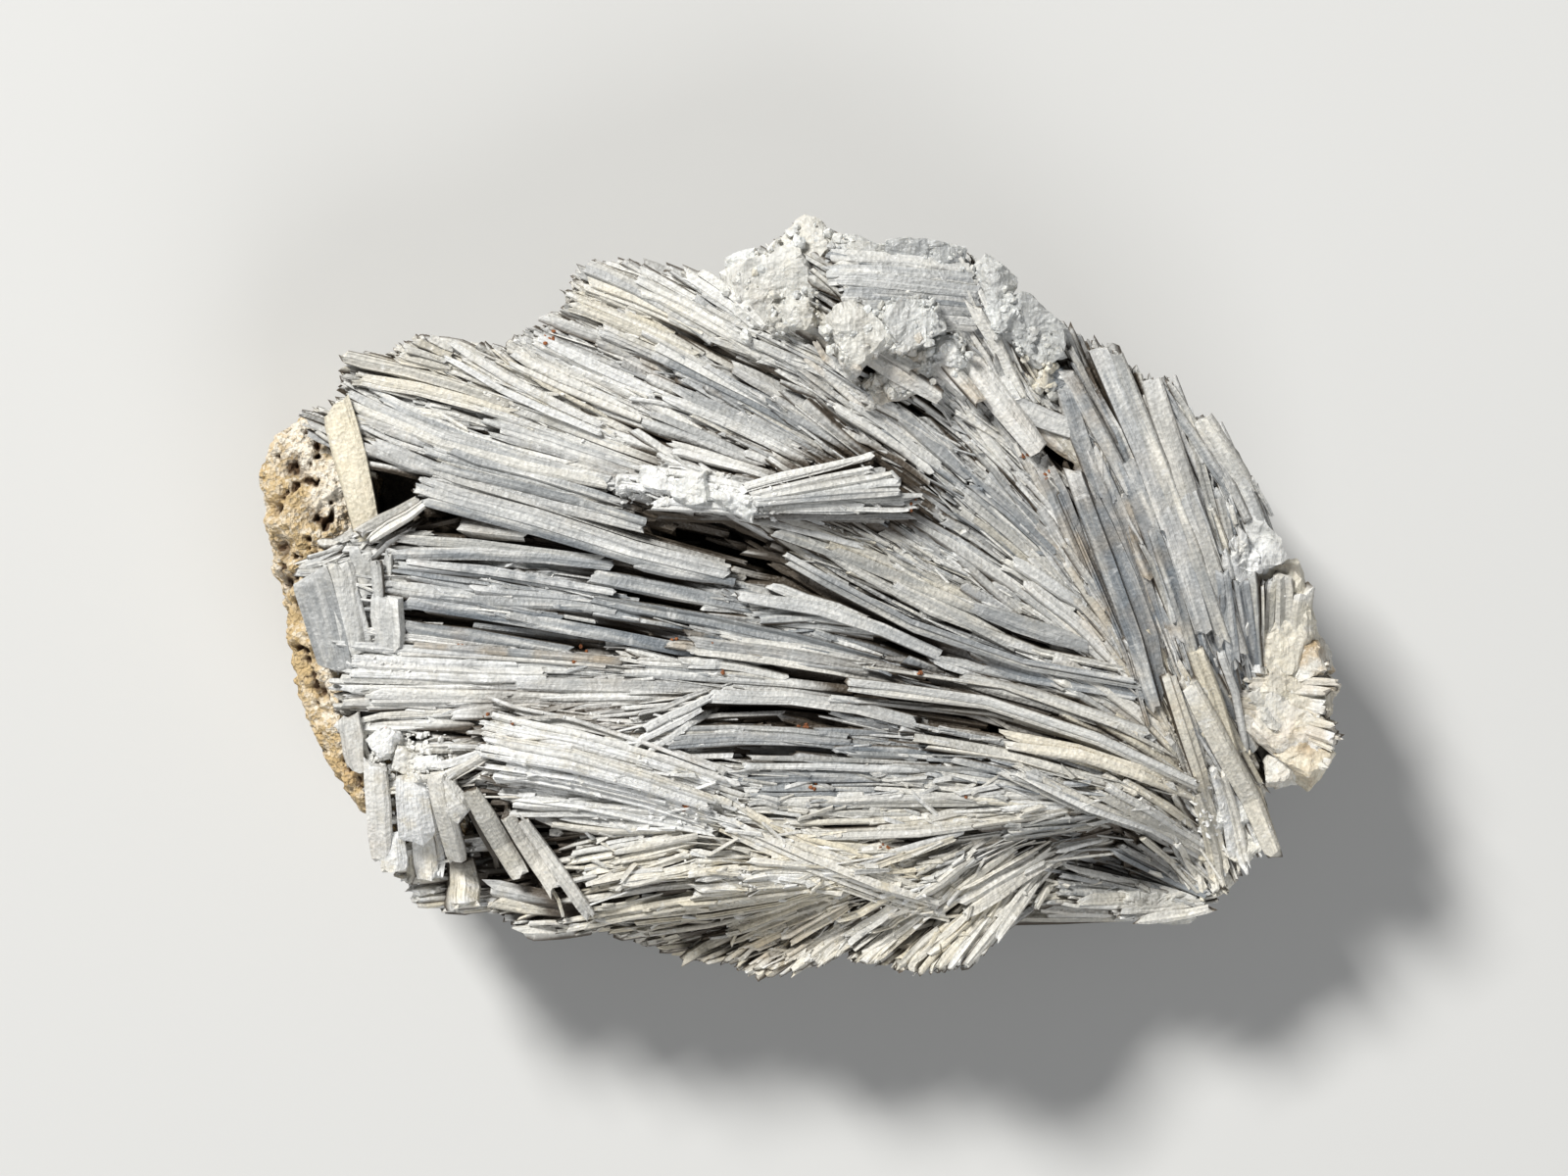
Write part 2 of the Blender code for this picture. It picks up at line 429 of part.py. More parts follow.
def keep_outer_shell(made):
    """Removes every shell but the largest: the sealed voids and the loose crumbs that joining leaves."""
    shape = bmesh.new()
    shape.from_mesh(made.data)
    waiting, shells = set(shape.faces), []
    while waiting:
        edge_of_shell, shell = [waiting.pop()], set()
        while edge_of_shell:
            face = edge_of_shell.pop()
            shell.add(face)
            for edge in face.edges:
                for other in edge.link_faces:
                    if other in waiting:
                        waiting.discard(other)
                        edge_of_shell.append(other)
        shells.append(shell)
    shells.sort(key=len)
    bmesh.ops.delete(shape, geom=[face for shell in shells[:-1] for face in shell], context="FACES")
    bmesh.ops.triangulate(shape, faces=shape.faces)
    shape.to_mesh(made.data)
    shape.free()


def floor_cutter(collection):
    """A slab whose top is the surface that the specimen lies on."""
    shape = bmesh.new()
    bmesh.ops.create_cube(shape, size=1.0)
    bmesh.ops.scale(shape, vec=FLOOR_SLAB, verts=shape.verts)
    bmesh.ops.translate(shape, vec=(0, 0, -FLOOR_SLAB[2] / 2), verts=shape.verts)
    new_object("floor_cutter", shape, collection)


def make_crystals():
    """The crystal mass: body, hollows and every crystal, joined in one solid."""
    cutters, stock = helper_collection("cutters_for_crystals"), helper_collection("crystal_stock")
    hollow_cutters(cutters)
    base = new_object("crystal_body", body_shape(0.0, random.Random(SEED + 3)), bpy.context.scene.collection)
    cut = combined("crystal_body_cut", base, cutters, "DIFFERENCE")
    face_crystals(stock)
    rim_crystals(stock)
    block_crystals(stock)
    made = combined("crystal_mass", cut, stock, "UNION")
    keep_outer_shell(made)
    return made


def make_rock():
    """The matrix rock: a craggy strip, pitted, cut flat below and cut clear of the crystals."""
    cutters = helper_collection("cutters_for_rock")
    strip = new_object("rock_strip", rock_shape(random.Random(SEED + 4)), bpy.context.scene.collection)
    for number, (x, y, z, radius) in enumerate(ROCK_PITS):
        pit = bmesh.new()
        bmesh.ops.create_icosphere(pit, subdivisions=1, radius=radius)
        bmesh.ops.translate(pit, vec=(x, y, z), verts=pit.verts)
        new_object(f"rock_pit_{number}", pit, cutters)
    floor_cutter(cutters)
    body = body_shape(NODE_GAP, random.Random(SEED + 3))
    new_object("grown_body", body, cutters)
    face_crystals(cutters, NODE_GAP, LEFT_OF_CRYSTALS_BY_ROCK)
    rim_crystals(cutters, NODE_GAP, LEFT_OF_CRYSTALS_BY_ROCK)
    made = combined("matrix_rock", strip, cutters, "DIFFERENCE")
    keep_outer_shell(made)
    return made


def material(name, colour, roughness):
    """A plain stone finish."""
    made = bpy.data.materials.new(name)
    made.use_nodes = True
    shader = made.node_tree.nodes["Principled BSDF"]
    shader.inputs["Base Color"].default_value = (*colour, 1.0)
    shader.inputs["Roughness"].default_value = roughness
    shader.inputs["Metallic"].default_value = 0.0
    return made


def main():
    """Clears the scene and builds the specimen."""
    for old in list(bpy.data.objects):
        bpy.data.objects.remove(old)
    specimen = bpy.data.collections.new("edenite_specimen")
    bpy.context.scene.collection.children.link(specimen)
    finishes = {
        "crystal_mass": material("white grey crystal", (0.72, 0.71, 0.67), 0.5),
        "matrix_rock": material("tan rock", (0.66, 0.55, 0.38), 0.9),
    }
    for made in (make_crystals(), make_rock()):
        made.data.materials.clear()
        made.data.materials.append(finishes[made.name])
        specimen.objects.link(made)
        bpy.context.scene.collection.objects.unlink(made)


main()
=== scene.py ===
"""Looks of an edenite specimen: fans of silky blades, a blocky granular part, chalk and a strip of tan rock.

Tables are millimetres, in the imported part's frame: +X along the specimen, +Y across it, +Z up out of its
face. Meshes are metres. Every blade, grain and crust is worked out here as whole numpy arrays.
"""

import logging
import math
from collections.abc import Sequence
from dataclasses import dataclass, field, replace
from enum import Enum

import bpy
import numpy as np
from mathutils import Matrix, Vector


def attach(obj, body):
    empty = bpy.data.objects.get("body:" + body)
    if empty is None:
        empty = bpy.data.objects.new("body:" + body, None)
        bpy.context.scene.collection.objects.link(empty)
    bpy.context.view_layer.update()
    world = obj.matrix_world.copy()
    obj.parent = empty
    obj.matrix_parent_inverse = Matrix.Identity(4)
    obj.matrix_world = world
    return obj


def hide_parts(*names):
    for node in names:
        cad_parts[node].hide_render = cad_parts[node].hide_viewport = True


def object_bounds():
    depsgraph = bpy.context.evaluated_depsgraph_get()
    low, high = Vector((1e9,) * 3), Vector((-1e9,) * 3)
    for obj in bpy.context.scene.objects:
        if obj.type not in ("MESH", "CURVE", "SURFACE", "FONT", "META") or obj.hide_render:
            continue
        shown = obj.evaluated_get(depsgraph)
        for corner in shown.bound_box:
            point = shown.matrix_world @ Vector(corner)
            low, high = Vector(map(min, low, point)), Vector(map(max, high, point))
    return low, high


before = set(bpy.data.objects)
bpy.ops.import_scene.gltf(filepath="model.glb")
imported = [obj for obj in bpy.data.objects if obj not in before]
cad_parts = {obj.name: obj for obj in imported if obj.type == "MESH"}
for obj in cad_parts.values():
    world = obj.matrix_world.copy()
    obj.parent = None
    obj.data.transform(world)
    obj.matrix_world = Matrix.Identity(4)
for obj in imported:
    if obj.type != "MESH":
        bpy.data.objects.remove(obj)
cad_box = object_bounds()

log = logging.getLogger("edenite")
Array = np.ndarray
Stroke = tuple                                  # a traced blade or groove: two sizes, then points in plan
Socket = bpy.types.NodeSocket
Colour = tuple[float, float, float, float]
MM = 0.001
TOP_LIMIT = float(cad_box[1][2]) / MM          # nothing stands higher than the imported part
SEED = 7                                        # of every random draw

# Swellings and hollows of the face: centre, radii, height.
SWELLS = np.array([
    (8, 30, 17, 9, 5.5), (-4, 11, 15, 4.5, 3.2), (-22, -16, 13, 5.5, 2.6), (38, 12, 10, 16, 1.6),
    (50, -8, 6, 12, -3.5), (45, -24, 9, 8, -5), (38, -30, 9, 5, -7), (28, -28, 10, 5, -6),
    (8, -35, 18, 5, -5), (-14, -36, 16, 5, -7), (-33, -28, 9, 6, -6), (-46, 22, 7, 8, -2),
    (18, -8, 16, 6, -1.5),
])
# The specimen's outline in plan, counter-clockwise from its near left corner.
OUTLINE = np.array([
    (-42.6, -25.5), (-41, -29.5), (-39.8, -31.3), (-35.5, -32.2), (-32, -32.3), (-29, -34.3),
    (-24.5, -34.9), (-21, -34), (-18, -35.2), (-13, -37), (-7, -38.4), (-3.5, -39.2), (0, -38.5), (4, -37),
    (8, -37.6), (12, -38.3), (17.3, -38), (21, -34.5), (23, -31.6), (31, -31.5), (34.5, -33.3), (37.5, -34),
    (42.8, -31.8), (44, -30), (46.4, -28.6), (48.3, -26.2), (49.2, -23.5), (47.8, -19.2), (51.5, -19.6),
    (54, -17), (56.2, -13.6), (54.6, -11), (55.6, -8.5), (53.6, -2), (50, 4.5), (46.8, 11), (42.4, 18.4),
    (40.2, 19.9), (38.2, 23.4), (35, 23), (33, 25.8), (29.4, 27.2), (26, 29.2), (21.5, 32.3), (17, 36.2),
    (12, 35.8), (6, 37), (0.8, 39.3), (-5.5, 35.3), (-7.5, 32.6), (-11, 34.3), (-16, 35), (-22.4, 35.2),
    (-24.3, 30.6), (-28.5, 27.8), (-31, 26.1), (-39, 27.4), (-42, 25.8), (-47, 25.6), (-47.4, 21.4),
    (-48.8, 19.6), (-48, 10), (-47.2, 3), (-46, -5), (-44.6, -12), (-43.4, -18),
])
# The side wall from the floor up: shares of the outline's distance and of the face's height.
WALL_SECTION = [(0.78, 0), (0.89, 0.13), (0.945, 0.32), (0.95, 0.54), (0.915, 0.77), (0.84, 0.93), (0.70, 1)]
MAIN_ROOT = (40, -19.5)                         # where most blades run together

# Blades traced on the face: width, lift above the face, then points from the free end to the buried end.
LEFT_FAN: list[Stroke] = [
    (2.8, 1.5, (-39.6, 11.8), (-28.4, 8.7), (-19.5, 5.8), (-8, 3)),
    (2, 1.2, (-38.4, 13.4), (-26, 10.6), (-17, 8)), (2, 2, (-45.2, 6.4), (-39.5, 9.7)),
    (1, 0.6, (-40.8, 6.5), (-30.8, 5.8), (-20, 4.4)), (1.2, 0.5, (-42, 4.9), (-30, 5.1), (-19.5, 3.8)),
    (1.6, 0.8, (-40.5, 3.9), (-30.8, 2.9), (-19.5, 0.9)),
    (1.6, 0.6, (-42.3, 1.6), (-30, 0.6), (-19.5, -0.8)), (1.4, 0.5, (-40.8, 0.2), (-26, -2), (-11, -5)),
    (1.3, 0.5, (-40.8, -2.5), (-32, -3.6), (-24, -5)),
    (1.5, 0.6, (-40.5, -4.6), (-30, -5.2), (-19.5, -6.1)), (1.4, 0.9, (-17.3, 4.1), (-7.4, 2.4)),
    (1.4, 0.6, (-20.5, 0.2), (-10.8, -1.5), (-0.4, -3.9), (8.6, -6.1)),
    (1.8, 0.9, (-11.2, -4.4), (-0.4, -5.6), (9.8, -8)), (1.2, 0.4, (-18.3, -7.3), (-6, -7.8), (5, -9)),
    (1.8, 0.8, (-47, -6.6), (-36, -7.2), (-27, -7.4)), (1.8, 0.6, (-44.6, -9.6), (-34, -9.6), (-26, -9.9)),
    (1.8, 0.8, (-46.8, -5), (-38, -5.6), (-30, -6)), (1.8, 0.6, (-46.2, -8.2), (-38, -8.4), (-30, -8.5)),
    (1.3, 0.4, (-36, -11.4), (-24, -10.4), (-14, -9.6)), (1.2, 0.5, (-30, -8.6), (-18, -8.8), (-8, -9)),
    (1.4, 0.7, (-9.8, -9.5), (1.3, -9.7), (11, -12.2)), (1.3, 0.4, (-22, 3), (-12, 1.2), (-2, -1)),
    (1.5, 1.4, (-16.5, -13.8), (-10, -10.5)),
]
UPPER_FAN: list[Stroke] = [
    (1.6, 0.9, (-47, 25.4), (-38, 23.4), (-30, 20.6)), (1.6, 0.7, (-47, 23.3), (-38, 21.6), (-29, 19)),
    (2.4, 1.4, (-41, 26.2), (-36, 24.6)), (2.2, 0.9, (-35.6, 25.6), (-28.9, 21.6), (-20, 17.6)),
    (2, 0.8, (-46.6, 21.2), (-40.5, 18.2), (-33, 15.5), (-20, 12.5)),
    (1.2, 0.6, (-45.8, 18.8), (-38, 16.4), (-31, 14)), (2, 0.9, (-44.9, 16.5), (-37.4, 13.4), (-28, 11.6)),
    (1.6, 1, (-22, 34.6), (-15, 31.4), (-9, 27)), (1.6, 0.7, (-23.4, 33.2), (-16, 30.6), (-10, 27.5)),
    (1.8, 0.8, (-16.9, 32.8), (-10, 29.6), (-5, 26)), (1.8, 0.9, (-11, 33.8), (-7.4, 31.4), (-4.5, 28.5)),
    (1.5, 0.7, (-23.6, 31.2), (-17, 28.4), (-11, 25.8)), (1.6, 0.8, (-8.6, 27.1), (-2, 24.8), (4.2, 22.1)),
    (1.6, 0.8, (-14.4, 25.5), (-7, 22), (0, 18.2)), (1.8, 0.9, (-13.5, 21.6), (-6, 18.4), (1, 14.6)),
    (1.8, 0.6, (-15.7, 18.9), (-10, 16.8), (-4, 14)), (1.4, 1, (-13.2, 16), (-3, 12.9)),
    (1.8, 0.8, (3.7, 20.3), (8.6, 17.4), (13.4, 13.8)), (1.4, 1.1, (6.2, 21.1), (11, 18.8), (15.1, 15.8)),
    (1.2, 0.9, (9.8, 19.7), (17.3, 13.1)), (1.4, 0.7, (16.5, 21.1), (21.3, 13.8)),
    (1.3, 0.7, (16.5, 19.4), (21.6, 16.4), (26.2, 12.6)),
    (1.5, 0.5, (-28.6, 27.6), (-22, 24.6), (-15, 21.4)), (1.5, 0.5, (-30, 25.2), (-24, 22.4), (-17, 19.4)),
    (1.4, 0.4, (-20.6, 28), (-13, 24.8), (-6, 21)), (1.6, 0.6, (-33, 19.4), (-24, 16.6), (-15, 13.4)),
    (1.4, 0.4, (-31, 17.4), (-22, 14.8), (-14, 12)), (1.2, 0.9, (17, 31), (19.8, 26.4), (22.3, 21.5)),
    (1.5, 0.5, (0, 24.6), (6, 20), (11, 15.4)), (1.5, 0.5, (-3, 20.8), (4, 16.6), (10, 12.4)),
]
RIGHT_BLADES: list[Stroke] = [
    (1.6, 0.9, (26.7, 24.4), (30.1, 18.7), (33.5, 12)), (1.6, 0.9, (26.9, 21.5), (30.5, 11)),
    (2.2, 1.4, (29.5, 26.8), (33.5, 18.7), (36, 12), (40.5, -1.5)),
    (2.2, 1.5, (31.8, 25.5), (37.3, 12), (43.2, -3.7)), (2, 1.1, (36, 22.8), (40.7, 7.2), (45.1, -4.9)),
    (2.2, 1, (38, 23), (42, 17), (46, 10.6)), (2, 0.8, (42, 18), (47, 7.6)),
    (2, 1, (39.3, 10.9), (42.5, 3)), (2, 1.8, (27.5, 14), (30, 7.2), (33, 0), (36, -10)),
    (1.6, 1, (30.1, 10.1), (33, 3.6), (35.2, 0), (37.1, -9.7)), (1.4, 1.1, (43, 3), (44.5, -6)),
    (1.4, 1.1, (45, 3), (46.5, -6)), (1.4, 1, (46.5, 2.6), (47.2, -6.4)),
    (1.8, 0.7, (33.6, 15), (37, 6), (40, -4)), (1.6, 0.7, (35.6, 8), (38.4, 0), (41, -8)),
    (1.5, 0.6, (24, 15.4), (28, 6), (31.6, -3)), (1.5, 0.7, (29.6, 15.8), (33.6, 6.6), (37, -4)),
    (1.6, 0.6, (40.6, 5), (43, -3), (44.6, -9)), (3.6, 0.8, (50.2, 2.4), (50.2, -6.8)),
    (2.2, 1.2, (20, 20.8), (27.5, 18)), (1.5, 1.2, (37.4, -7.5), (40.1, -15.5), (42.2, -21.4)),
    (1.5, 1.6, (39.5, -8), (42.2, -12.9), (45, -17), (48.6, -25.3)),
    (1.6, 1, (41, -5), (43.6, -12), (45.6, -19)),
]
CENTRE: list[Stroke] = [
    (1.5, 0.8, (16.5, 13.3), (21.6, 9.4), (26.2, 4.8)), (1.5, 0.6, (16.5, 10.1), (22.4, 5.6), (28.1, 0.4)),
    (1.2, 0.9, (20.9, 4.8), (28.1, 0.2)), (1.4, 0.9, (18, -0.7), (24, -2.8), (30, -4.6)),
    (1.5, 1.6, (-1.6, 4.8), (6.2, 0.2), (11, -2), (17.5, -4.2), (24, -6.5), (34, -8)),
    (1.3, 1, (8.6, 2.4), (13.4, 0), (17.5, -2.2), (20.5, -3.9)),
    (2.5, 1, (-2.6, 8.2), (6.2, 4.8), (17.5, 0)), (1.4, 0.9, (-7, 1.2), (3.7, -0.5), (13.4, -4.9)),
    (1.2, 0.8, (-3.8, 1.9), (6, -1.5)), (1, 0.5, (-5, -1.5), (0.4, -1.3), (8.6, -2.5)),
    (1.3, 0.8, (14.2, -5.9), (22, -8)), (1.3, 0.8, (12.7, -7.2), (25, -10.5)),
    (1.7, 1.9, (4, -8), (16.5, -9.4), (21.9, -10.7), (32.6, -14.7), (39.5, -18.2)),
    (1.6, 1.3, (20, -13.9), (29.9, -15.5), (39.5, -19.6)), (1.2, 0.6, (16.5, -7.3), (26, -10), (35, -13)),
    (1.4, 0.7, (22, 2.6), (29, -3), (34.6, -9)), (1.4, 0.6, (24, 8.6), (29.6, 1.6), (33.6, -5.6)),
    (1.3, 0.6, (11, 8.6), (18, 4.2), (25, -0.6)), (1.3, 0.5, (6, 11.6), (13, 7), (20, 2.4)),
    (1.3, 0.5, (26, -5.4), (32, -9), (37.4, -13.6)), (1.3, 0.7, (24, -8.8), (31, -11.8), (38, -16.4)),
]
LOWER_SPRAYS: list[Stroke] = [
    (2, 0.8, (-15, -13.6), (-5, -13.2), (3.7, -14.1)), (1.3, 0.5, (-6, -16), (4, -16.2), (12, -16.6)),
    (1.3, 0.4, (-7, -17.6), (3, -17.6), (12, -18)), (1.2, 0.4, (-5, -19.2), (4, -19.3), (14, -19.4)),
    (2.6, 2, (-32, -12.4), (-20, -14.6), (-8.6, -18.4)),
    (2.6, 2.3, (-32, -14.4), (-20, -16.5), (-9, -20.4)),
    (2.4, 1.7, (-31, -16.4), (-20, -18.4), (-9.4, -21.8)),
    (2, 1, (-39.3, -18), (-35.7, -17.5), (-32, -15.3)), (1.4, 1.2, (-29, -21), (-19.5, -21), (-8.9, -22.1)),
    (1.4, 1, (-24.9, -22.1), (-19.5, -22.9), (-8.9, -22.6)), (1.5, 1.4, (-19, -26), (-10.8, -24.1)),
    (1.4, 1.2, (-23.1, -26), (-12, -24)), (1.4, 1.6, (-18.7, -28.7), (-10.8, -27)),
    (1.5, 1.3, (-22.8, -28.4), (-15, -26.5)), (1.6, 1.9, (-11.2, -28), (-6, -27.2)),
    (1.6, 1.8, (-10.9, -29.4), (-5, -28.9)), (3, 1.8, (-6, -27.8), (1.3, -27.6)),
    (1.6, 2, (-24, -33), (-10.8, -30.4), (1.3, -28.9)),
    (1.8, 1.8, (-16.9, -32.8), (-5, -31.6), (3.7, -28.7)),
    (1.5, 1.7, (-7.9, -22.1), (-3.5, -24.3), (6.2, -28.4), (13.4, -30.6)),
    (1.4, 1.2, (-3.5, -24.1), (5, -26.5), (11, -28.9)), (1.4, 0.6, (-6, -20.7), (8.6, -20.2), (28, -19.8)),
    (1.2, 0.5, (-2.6, -21.9), (9.8, -21.9)),
    (1.4, 0.7, (0.3, -23.6), (8.6, -23.6), (17.3, -22.9), (29, -20.6)),
    (2, 0.9, (20.5, -23.6), (29.6, -22.5)), (1.4, 0.9, (26.9, -26), (31.5, -24.6)),
    (1.4, 1, (4.9, -27.5), (15.9, -23.8)), (1.4, 1.2, (12.2, -29.6), (17.5, -26)),
    (1.6, 1.6, (21.5, -16.5), (28, -19.8), (35.3, -22.5), (41, -25.7)),
    (1.4, 0.8, (12, -14), (22, -15.6), (33, -19)), (1.4, 0.6, (14, -17), (24, -18.6), (35, -21)),
    (1.3, 0.5, (8, -18.6), (18, -19.8), (30, -21.4)),
]
FRINGE: list[Stroke] = [
    (1.7, 1.6, (-7.7, -33.8), (3.3, -29.2)), (1.6, 1.4, (-6.9, -34.5), (0, -31.5)),
    (1.5, 1.2, (-5.7, -35.7), (1.3, -32.3)), (1.5, 1.7, (-1.4, -35.2), (4.9, -31.1)),
    (1.5, 1.2, (-1.1, -37.4), (6.2, -32.3)), (1.5, 1.3, (1.3, -37.4), (6.5, -33)),
    (1.6, 1.8, (4.7, -35), (9.6, -31.3)), (1.6, 1.4, (5.9, -37.4), (12.2, -32.3)),
    (1.5, 1.5, (10.5, -37.9), (14.6, -33.8)), (1.6, 1.7, (11.7, -37.9), (17.5, -32.3)),
    (1.6, 1.4, (15.1, -37.4), (20, -31)), (1.9, 1.6, (17.3, -37.5), (24.5, -28.4)),
    (2, 1.5, (16.5, -31.6), (25.3, -26.3)), (1.6, 1.2, (20, -33.4), (26, -27.4)),
    (1.5, 1.1, (13, -32.4), (21, -26.4)), (1.5, 1.2, (8.6, -33), (16, -28.4)),
]
ROOT_SPRAY: list[Stroke] = [
    (1.3, 1.4, (26.1, -27.3), (33, -29.2), (40.1, -30.8)), (1.3, 1.3, (26.4, -28.7), (37.4, -30.3)),
    (1.2, 1, (28, -30.8), (36.9, -30.8)), (1.4, 1.7, (32.3, -25.2), (37.4, -28), (42.2, -30.3)),
    (1.4, 1.8, (35.3, -24.6), (41.7, -29.5)), (1.4, 1.8, (38.7, -24.6), (42.2, -29.7)),
    (2.2, 1.8, (44, -29.4), (42.8, -24), (41, -19.6)), (2, 1.6, (46, -27.8), (44.8, -23), (43.2, -18.4)),
    (1.8, 1.2, (48.4, -24.4), (46.4, -20), (44.4, -16)), (1.6, 1.4, (30, -18.4), (36, -21.6), (42, -25.4)),
    (1.6, 0.8, (32, -33), (37, -32.6), (42, -31.6)),
]
KNOB: list[Stroke] = [
    (2.2, 0.7, (56, -13.4), (51, -12), (46.6, -10.8)), (2, 0.6, (55.6, -8.6), (50.6, -8.4), (46.2, -8.2)),
    (2.4, 0.3, (53.6, -17), (49.6, -14.6), (46, -11.6)), (1.6, 0.3, (55.4, -11.6), (50, -10.4), (45, -9.6)),
    (1.8, 0.2, (54.8, -15.2), (50, -13.4), (45.6, -11.4)),
]
PLATES: list[Stroke] = [
    (3.2, 1.2, (-47.2, 19.6), (-45.2, 13), (-43.8, 6.4)), (2, 1, (-44.7, 6), (-44, 1)),
    (0.9, 1.4, (-43, 4.8), (-42.7, 0.7)), (3.4, 1, (-49.2, 4.8), (-48, 0), (-46.9, -5.2)),
    (2.2, 1.4, (-46.8, 4.4), (-45.4, -4.6)), (3, 1.4, (-42.8, 1.2), (-42.2, -4.2)),
    (2.8, 0.8, (-43.4, -15.5), (-42.9, -25.3)), (2.6, 1.6, (-39.4, -24.2), (-39.8, -17.5)),
    (2.4, 1, (-38.4, -29.2), (-38.8, -23.6)), (2.2, 2.8, (-35.2, -27.5), (-36.9, -18.7)),
    (2.6, 0.6, (-46.4, -11.6), (-45.4, -17)), (2.4, 0.4, (-45.6, -16.6), (-44.6, -23.6)),
    (3.2, 1.2, (-34, -32), (-34.6, -27.2)), (2, 2.2, (-33.6, -21.6), (-36, -18.4)),
    (1.8, 3, (-28.7, -27.8), (-33.5, -18.8)), (1.7, 3.2, (-25.2, -29.5), (-29.9, -21.9)),
    (1.6, 3.4, (-20.9, -32.1), (-27.7, -22.4)), (1.4, 1.2, (-33, -28.8), (-25, -30.2)),
    (1.4, 0.8, (-32, -31), (-23, -31.9)), (2.6, 1, (-41, -31), (-41.4, -24)),
]
SHEAF: list[Stroke] = [
    (2.4, 1.4, (-17.6, 12.8), (-10, 11.8), (-3, 10.6)), (2.2, 1, (-15.6, 10.6), (-8, 10), (-1, 9.4)),
    (1.6, 3, (9.9, 12.8), (3, 11.6), (-3.6, 10.4)), (1.6, 3, (11.5, 11), (4, 10.6), (-3, 10)),
    (1.4, 2.6, (6.9, 9.5), (1.6, 9.6), (-3, 9.6)), (1.3, 2.8, (8, 13.6), (2, 12.2), (-4, 10.9)),
    (1.2, 2.2, (10.6, 9.8), (4, 9.8), (-2, 9.6)),
]
STRIATED_PLATE: list[Stroke] = [
    (2.6, 1, (3, 34.2), (10, 33.8), (17.2, 33.2)), (2.6, 1.1, (3.4, 32.2), (10, 31.8), (17.4, 31.2)),
    (2.4, 0.9, (6, 30.4), (11, 30.1), (17.6, 29.6)), (2, 0.5, (9.6, 28.8), (14, 28.5), (18, 28.2)),
]
# Dark grooves between bundles: width, depth, points.
GROOVES: list[Stroke] = [
    (2.6, 8, (-43, 13.2), (-40.2, 12.2)), (2.4, 8, (-42.6, 10.2), (-40.6, 10.6)),
    (2.6, 6, (-38, 8.4), (-30.8, 6.8), (-19.5, 4.6)), (1.3, 4, (-40, 4.4), (-31.3, 3.3)),
    (1.4, 3.5, (-41, -1), (-35.7, -2.2), (-28, -3.4), (-20, -4.5)), (1.8, 5, (-25, -2), (-15.2, -3.4)),
    (1.8, 4, (-14.7, -4), (-11.2, -4.6)), (3.4, 7, (-15, 7.4), (-7.6, 6)),
    (1.6, 4, (-4.6, 6.3), (-1.6, 4.8)), (1.6, 4, (-19.6, 3), (-10, 2)),
    (1.8, 5, (-10, -10.6), (0, -10.4), (5, -11.4)), (1.4, 3, (-20.5, 1.2), (-13.2, -0.5), (-5, -2.2)),
    (3, 4, (-5, 4.6), (1.3, 0.7), (8.6, -3), (16.5, -5.6)),
    (1.7, 4.5, (-3.5, -6.8), (9.8, -9.7), (21, -12.8)), (1, 3, (21, -12.8), (31.5, -15.5)),
    (1.2, 3, (-8.9, -14.9), (2.8, -15.6)), (1.2, 3, (-5, -12), (0, -12.9)),
    (1.6, 3.5, (-15.5, 31.5), (-10.3, 26.9), (-3.5, 22.6), (3, 18.8)),
    (1.2, 2.5, (-11.3, 18), (-7.9, 16.5)), (1.4, 3, (-18, 18.2), (-8.9, 14.8), (-5, 13.6)),
    (1.2, 3, (-34.2, 18), (-29.6, 17.1)), (1, 2.5, (28.6, 22.3), (31.5, 17.2), (35, 12)),
    (1, 2.5, (29.3, 24.7), (31, 21.1)), (1.1, 3, (27.6, 10.1), (29.6, 4.8), (31.5, 0.9), (34, -4.9)),
    (1, 2.8, (17.2, -1.3), (26.2, -4.9), (33.5, -7.8)), (1, 2.6, (18.9, 4.1), (26.2, 0.2)),
    (0.9, 2.6, (32.6, 14), (36, 6), (40, -3.4)), (0.9, 2.6, (36.6, 13.4), (39.6, 5), (42.8, -4.6)),
    (0.9, 2.6, (34, -1), (37.4, -7)), (0.9, 2.2, (39.4, 10.4), (42.4, 3)),
    (2.4, 5, (25.4, 16.8), (27.4, 15)), (1.8, 4.5, (11.2, 20.4), (13, 19.4)),
    (1.2, 2.5, (2.5, -22.9), (9.8, -21.9)), (1.6, 4, (10, -24.2), (20.5, -23.4)),
    (1.6, 4, (33.6, -24.4), (36.9, -24.6)), (1.8, 4, (30.4, -26.6), (34.7, -27.2)),
    (5, 10, (-33.4, -22.6), (-30, -27.6)), (2.4, 7, (-26.4, -23.4), (-24, -24.4)),
    (1.6, 4, (-15.7, -29.4), (-11, -29.6)), (1.4, 4, (-38.6, -13), (-32, -13.2)),
    (1.2, 4, (-36.2, -15.8), (-33.3, -15.8)), (1.2, 5, (-37.6, -23), (-37.6, -27)),
    (2.6, 5, (48.2, -14.4), (48.2, -17.2)), (1.4, 3.5, (48.5, -5.4), (51.5, -7.6)),
    (1.8, 4, (11.5, 28.6), (17.3, 28.2)), (2, 5, (-48, 15), (-46.6, 8)),
]
RUST_SPECKS = [
    (-24.8, 27.5), (25, 17.2), (22.8, 15.2), (25.5, 13.2), (36.4, 13.7), (-9.2, -3.9), (-8.1, -6.9),
    (0.6, -13), (11.7, 9.7), (12.3, -7), (9.1, -24.8), (-22.7, -6), (-34.7, -4.2), (-31.6, -11.6),
    (-29, -12.2), (-23.2, -11.7), (17.3, -19.5), (1.5, -19), (-11.5, -20.9), (-22, -5.2), (-25.4, 26.8),
    (-12.6, -3.7),
]
